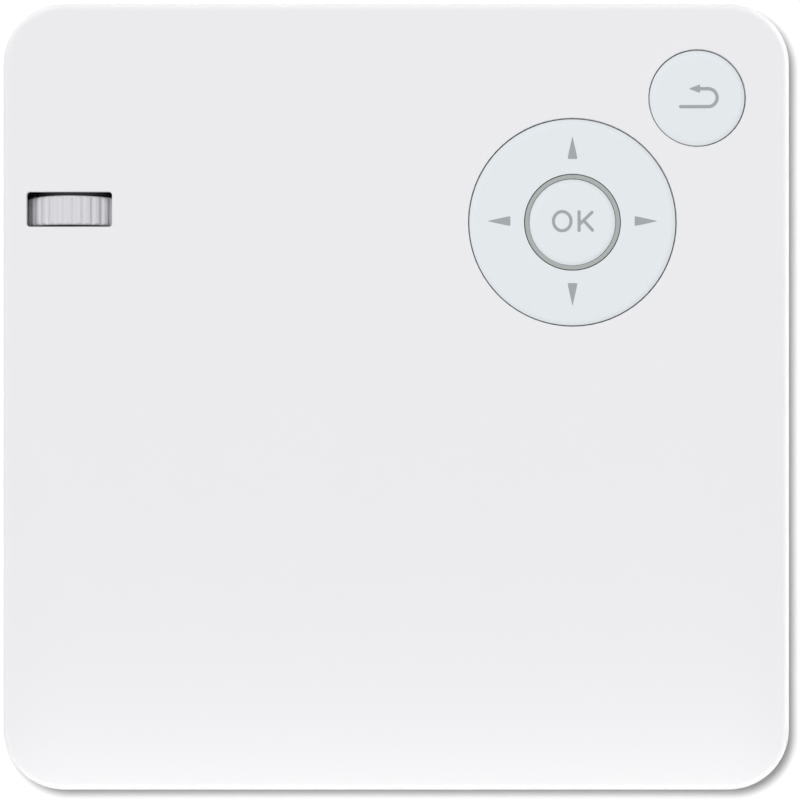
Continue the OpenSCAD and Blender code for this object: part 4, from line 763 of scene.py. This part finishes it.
class PROJECTOR_OT_contacts(bpy.types.Operator):
    """Adds the contacts of the video, storage and power sockets."""

    bl_idname = "projector.contacts"
    bl_label = "Socket contacts"

    def execute(self, context):
        thick = context.scene.projector_fittings.contact_thick
        # Both tongues start this deep behind the socket's mouth
        start = span("hdmi_socket")[0].y + 1.3 * MM
        bm = bmesh.new()
        # Places of the contacts across each tongue, in mm from its middle
        video_up = [i - 4.5 for i in range(10)]
        video_down = [i - 4.0 for i in range(9)]
        storage = [-3.5, -1.0, 1.0, 3.5]
        # Height above the socket's middle, width and length in mm; the face is 1 for upwards
        for node, places, lift, wide, deep, face in (
                ("hdmi_socket", video_up, 0.7, 0.42, 6, 1),
                ("hdmi_socket", video_down, -0.2, 0.42, 6, -1),
                ("usb_socket", storage, 0.3, 1.0, 8, -1)):
            low, high = span(node)
            middle, z = (low.x + high.x) / 2, (low.z + high.z) / 2 + lift * MM
            end, half = start + deep * MM, wide * MM / 2
            # A contact lies along its tongue and dips at its mouth
            profile = [(start, 0), (start + 0.3 * MM, thick), (end, thick), (end, -thick),
                       (start, -thick)]
            flat = [Vector((y, z + face * dz)) for y, dz in profile]
            for across in places:
                prism(bm, flat, -half, half, sideways(middle + across * MM))
        add_piece("socket_contacts", bm, ["contact_gold"], "base")
        # Sleeve on the power socket's pin
        low, high = span("power_socket")
        bm = bmesh.new()
        tip = Vector(((low.x + high.x) / 2, low.y + 0.96 * MM, high.z - 3.6 * MM))
        inwards = Matrix.Translation(tip) @ Matrix.Rotation(math.radians(-90), 4, "X")
        lathe(bm, [(0.3, 0.0), (0.75, 0.02), (1.0, 0.25), (1.04, 0.5), (1.04, 8.5), (0.3, 8.5)],
              40, inwards)
        add_piece("power_pin", bm, ["bright_steel"], "base", True)
        return {"FINISHED"}


class PROJECTOR_OT_threads(bpy.types.Operator):
    """Winds the tripod thread and the ridge of the pickup's lead screw."""

    bl_idname = "projector.threads"
    bl_label = "Threads"

    def execute(self, context):
        sizes = context.scene.projector_fittings
        low, high = span("tripod_insert")
        # A quarter-inch bore with a closed end, and the ridge's root just inside its wall
        bore, sunk, closed = 3.175 * MM, 0.03 * MM, 0.9 * MM
        pitch = sizes.tripod_pitch
        turns = (high.z - low.z - closed) / pitch - 0.8
        bm = bmesh.new()
        place = Matrix.Translation(((low.x + high.x) / 2, (low.y + high.y) / 2, low.z))
        thread(bm, place, bore + sunk, sizes.tripod_minor, pitch, turns, pitch / 2)
        add_piece("tripod_thread", bm, ["yellow_brass"], "base", True)
        # The lead screw lies along the pickup's path, from one corner of its box to another
        low, high = span("lead_screw")
        axis = Vector((high.x - low.x, low.y - high.y, 0)).normalized()
        start = Vector((low.x, high.y, (low.z + high.z) / 2))
        run = (Vector((high.x, low.y, start.z)) - start).length
        turn = Vector((0, 0, 1)).rotation_difference(axis).to_matrix().to_4x4()
        # The ridge leaves both of its bearings bare and roots just inside the rod
        radius, sunk, bare = 1.1 * MM, 0.01 * MM, 4.5 * MM
        bm = bmesh.new()
        thread(bm, Matrix.Translation(start) @ turn, radius - sunk, radius + sizes.lead_rise,
               sizes.lead_pitch, (run - 2 * bare) / sizes.lead_pitch, bare, 28)
        add_piece("lead_screw_ridge", bm, ["bright_steel"], "lead_screw", True)
        return {"FINISHED"}


class PROJECTOR_OT_hub_grip(bpy.types.Operator):
    """Lays the rubber ring that grips the disc on the turntable."""

    bl_idname = "projector.hub_grip"
    bl_label = "Disc grip"

    def execute(self, context):
        middle = centre("turntable")
        # Height at which the disc lies, below the tray's top
        seat = span("disc_tray")[1].z - 1.7 * MM
        bm = bmesh.new()
        lathe(bm, [(9.9, -0.2), (12.1, -0.2), (12.1, 0.02), (11.95, 0.07), (11.3, 0.07),
                   (11.2, 0.03), (11.0, 0.03), (10.9, 0.07), (10.1, 0.07), (9.9, 0.02)],
              96, Matrix.Translation((middle.x, middle.y, seat)))
        add_piece("disc_grip", bm, ["soft_rubber"], "turntable", True)
        return {"FINISHED"}


class PROJECTOR_OT_board_parts(bpy.types.Operator):
    """Sets the small soldered parts on the main board and the drive board."""

    bl_idname = "projector.board_parts"
    bl_label = "Board parts"

    def execute(self, context):
        sizes = context.scene.projector_fittings
        half_l, half_w = sizes.part_long / 2, sizes.part_wide / 2
        apart, corner = 2.4 * MM, 0.06 * MM
        # Each part is a ceramic block between two tinned ends, which stand a little taller
        inner = half_l * 0.6
        stretches = ((-half_l, -inner, 0.5, 1), (-inner, inner, 0.46, 0), (inner, half_l, 0.5, 1))
        for name, node, body, count, seed, margin in (
                ("main_board_parts", "main_board", "base", sizes.main_parts, 5, 6 * MM),
                ("drive_board_parts", "drive_board", "tray", sizes.drive_parts, 8, 5 * MM)):
            draw = random.Random(seed)
            low, high = span(node)
            if node == "drive_board":
                # Its box ends at the chips, and the board itself is 0.8 mm thick
                high.z = low.z + 0.8 * MM
            bm = bmesh.new()
            taken = []
            while len(taken) < count:
                x = draw.uniform(low.x + margin, high.x - margin)
                y = draw.uniform(low.y + 2 * margin, high.y - margin)
                turned_by = draw.choice((0, 90))
                if any(abs(x - a) < apart and abs(y - b) < apart for a, b in taken):
                    continue
                taken.append((x, y))
                place = (Matrix.Translation((x, y, high.z - 0.02 * MM))
                         @ Matrix.Rotation(math.radians(turned_by), 4, "Z"))
                for first, last, tall, index in stretches:
                    block = rectangle(first, -half_w, last, half_w, corner, 2)
                    prism(bm, block, 0, tall * MM, place, index)
            add_piece(name, bm, ["part_ceramic", "switch_metal"], body)
        return {"FINISHED"}


class PROJECTOR_OT_lamp_window(bpy.types.Operator):
    """Fits the clear window of the drive's lamp into the tray's bezel."""

    bl_idname = "projector.lamp_window"
    bl_label = "Drive lamp window"

    def execute(self, context):
        # Its slot lies beside the eject key, at the height of that key's middle
        face = span("tray_bezel")[1].x
        middle_y, middle_z = 46 * MM, span("eject_key")[0].z + 1.25 * MM
        long, half = 1.1 * MM, 0.45 * MM
        bm = bmesh.new()
        prism(bm, rectangle(-long, -half, long, half, half), -1.2 * MM, -0.15 * MM,
              sideways(face, middle_y, middle_z))
        add_piece("drive_lamp_window", bm, ["lamp_window"], "tray")
        return {"FINISHED"}


class PROJECTOR_OT_stage(bpy.types.Operator):
    """Sets up the floor, lamps, surroundings and camera."""

    bl_idname = "projector.stage"
    bl_label = "Studio"

    def execute(self, context):
        studio = context.scene.projector_studio
        scene = context.scene
        scene.view_settings.view_transform = "Standard"
        self.floor()
        self.surroundings(studio)
        self.lamps(studio)
        self.camera(studio)
        return {"FINISHED"}

    def floor(self):
        """A wide pale floor that stays white where no shadow falls."""
        # A flat sheet of 2 m radius, whose brim rises by 0.4 m
        bm = bmesh.new()
        rows = [loop(bm, arc((0, 0), radius, 0, math.tau, 64)[:-1], z, Matrix())
                for radius, z in ((1.0, 0.0), (2.0, 0.0), (3.0, 0.4))]
        bm.faces.new(rows[0])
        skin(bm, rows)
        mesh = bpy.data.meshes.new("studio_floor")
        bm.to_mesh(mesh)
        bm.free()
        made = bpy.data.materials.new("studio_floor")
        made.use_nodes = True
        tree = made.node_tree
        tree.nodes.clear()
        root = Wire(tree)
        paper = root.noise(root.place(), 0.6 * MM, 2.0)
        grey = paper.tint((0.4, 0.4, 0.4), 0.01)
        white = paper.blend((1.03, 1.03, 1.03), (1.04, 1.04, 1.04))
        bounced = root.node("ShaderNodeBsdfDiffuse", None, {"Color": grey})
        shown = root.node("ShaderNodeBsdfDiffuse", None, {"Color": white})
        glow = root.node("ShaderNodeEmission", None, {"Color": (1, 1, 1, 1), "Strength": 0.02})
        lit = root.node("ShaderNodeAddShader", None, {0: shown, 1: glow})
        both = root.node("ShaderNodeMixShader", None, {0: self.seen(root), 1: bounced, 2: lit})
        root.node("ShaderNodeOutputMaterial", None, {"Surface": both}, output=None)
        mesh.materials.append(made)
        floor = bpy.data.objects.new("studio_floor", mesh)
        bpy.context.scene.collection.objects.link(floor)

    @staticmethod
    def seen(root):
        """1 for rays from the camera, off gloss and through glass."""
        camera = root.node("ShaderNodeLightPath", output="Is Camera Ray")
        gloss, glass = camera.beside("Is Glossy Ray"), camera.beside("Is Transmission Ray")
        return root.sum("MAXIMUM", camera, root.sum("MAXIMUM", gloss, glass))

    def surroundings(self, studio):
        """An even world: white where it is seen, dimmer as light."""
        world = bpy.data.worlds.new("studio")
        world.use_nodes = True
        tree = world.node_tree
        tree.nodes.clear()
        root = Wire(tree)
        strength = self.seen(root).spread(0, 1, studio.fill, 1.0)
        light = root.node("ShaderNodeBackground", None, {"Color": (1, 1, 1, 1), "Strength": strength})
        root.node("ShaderNodeOutputWorld", None, {"Surface": light}, output=None)
        bpy.context.scene.world = world

    @staticmethod
    def lamp(name, kind, place, aim, floor_state, **settings):
        """A lamp that lights the floor alone (INCLUDE) or all but the floor (EXCLUDE)."""
        data = bpy.data.lights.new(name, kind)
        for key, value in settings.items():
            setattr(data, key, value)
        made = bpy.data.objects.new(name, data)
        made.location = place
        made.rotation_mode = "QUATERNION"
        made.rotation_quaternion = Vector(aim).to_track_quat("-Z", "Y")
        made.visible_camera = False
        made.visible_glossy = False
        bpy.context.scene.collection.objects.link(made)
        lit = bpy.data.collections.new(name)
        lit.objects.link(bpy.data.objects["studio_floor"])
        made.light_linking.receiver_collection = lit
        lit.collection_objects[0].light_linking.link_state = floor_state
        return made

    def lamps(self, studio):
        """A broad lamp from above and a little to the upper left, strips and a floor lamp."""
        towards = Vector((-studio.key_slope, studio.key_slope, 1.0))
        self.lamp("key_lamp", "SUN", towards, -towards, "EXCLUDE", angle=studio.key_soft,
                  energy=studio.key_light * math.pi * towards.length)
        # The floor's lamp hangs beside the camera, so that the shadow follows the case's outline
        top = cad_box[1][2] - EDGE_DROP
        shift = studio.shadow_shift
        made = self.lamp("floor_lamp", "POINT",
                         (studio.aim[0] - shift, studio.aim[1] + shift, top + studio.camera_height),
                         (0, 0, -1), "INCLUDE", shadow_soft_size=studio.shadow_soft,
                         energy=4 * math.pi ** 2 * studio.key_light)
        made.data.use_nodes = True
        tree = made.data.node_tree
        root = Wire(tree)
        # Its light is the same all over the floor: no loss with distance or slant
        ray = root.node("ShaderNodeTexCoord", output="Normal")
        down = root.node("ShaderNodeSeparateXYZ", None, {0: ray}, "Z")
        down = root.node("ShaderNodeMath", {"operation": "ABSOLUTE"}, {0: down})
        even = root.node("ShaderNodeLightFalloff", None, {"Strength": 1.0}, "Constant")
        even = even / root.sum("MAXIMUM", down, 0.1)
        tree.links.new(even.socket, tree.nodes["Emission"].inputs["Strength"])
        # Strips that graze the case's upper edges. Each has its side, its distance and its
        # height from the edge in mm, its beam in degrees and its share of the light
        half, roof = cad_box[1][0], cad_box[1][2] - 0.2 * MM
        for name, x, y, room, lift, beam, share in (
                ("rim_left", -1, 0, 60, 1.5, 10, 0.04), ("rim_right", 1, 0, 60, 0.3, 10, 0.38),
                ("rim_front", 0, 1, 60, 1.5, 10, 0.15), ("rim_back", 0, -1, 34, 12, 36, 0.68)):
            away = half + room * MM
            self.lamp(name, "AREA", (x * away, y * away, roof + lift * MM),
                      (-x, -y, -lift / room), "EXCLUDE", shape="RECTANGLE", size=2 * half,
                      size_y=3 * MM, spread=math.radians(beam), color=(1.0, 1.0, 0.92),
                      energy=studio.rim * share)

    def camera(self, studio):
        """A camera straight above the case, as in the photograph."""
        # Pixels along the picture's longer side
        frame_side = 801
        data = bpy.data.cameras.new("camera")
        edge = cad_box[1][2] - EDGE_DROP
        data.sensor_width = 36.0
        data.lens = studio.camera_height * data.sensor_width / (frame_side * studio.pixel_pitch)
        data.clip_start, data.clip_end = 0.01, 20.0
        camera = bpy.data.objects.new("camera", data)
        camera.location = (studio.aim[0], studio.aim[1], edge + studio.camera_height)
        bpy.context.scene.collection.objects.link(camera)
        bpy.context.scene.camera = camera


OPERATORS = (
    PROJECTOR_OT_finishes,
    PROJECTOR_OT_pad_arrows,
    PROJECTOR_OT_ok_letters,
    PROJECTOR_OT_return_symbol,
    PROJECTOR_OT_contacts,
    PROJECTOR_OT_threads,
    PROJECTOR_OT_hub_grip,
    PROJECTOR_OT_board_parts,
    PROJECTOR_OT_lamp_window,
    PROJECTOR_OT_stage,
)


class PROJECTOR_PT_panel(bpy.types.Panel):
    """Lists the steps that build the projector's looks."""

    bl_idname = "PROJECTOR_PT_panel"
    bl_label = "Pocket projector"
    bl_space_type = "VIEW_3D"
    bl_region_type = "UI"
    bl_category = "Projector"

    def draw(self, context):
        for operator in OPERATORS:
            self.layout.operator(operator.bl_idname)
        for name in GROUPS:
            box = self.layout.box()
            group = getattr(context.scene, name)
            for key in group.__annotations__:
                box.prop(group, key)


def register():
    for group in GROUPS.values():
        bpy.utils.register_class(group)
    for name, group in GROUPS.items():
        setattr(bpy.types.Scene, name, PointerProperty(type=group))
    for operator in (*OPERATORS, PROJECTOR_PT_panel):
        bpy.utils.register_class(operator)


def unregister():
    for operator in reversed((*OPERATORS, PROJECTOR_PT_panel)):
        bpy.utils.unregister_class(operator)
    for name in GROUPS:
        delattr(bpy.types.Scene, name)
    for group in reversed(GROUPS.values()):
        bpy.utils.unregister_class(group)


def main():
    register()
    for operator in OPERATORS:
        group, step = operator.bl_idname.split(".")
        getattr(getattr(bpy.ops, group), step)()
    bpy.context.view_layer.update()


if __name__ == "__main__":
    main()
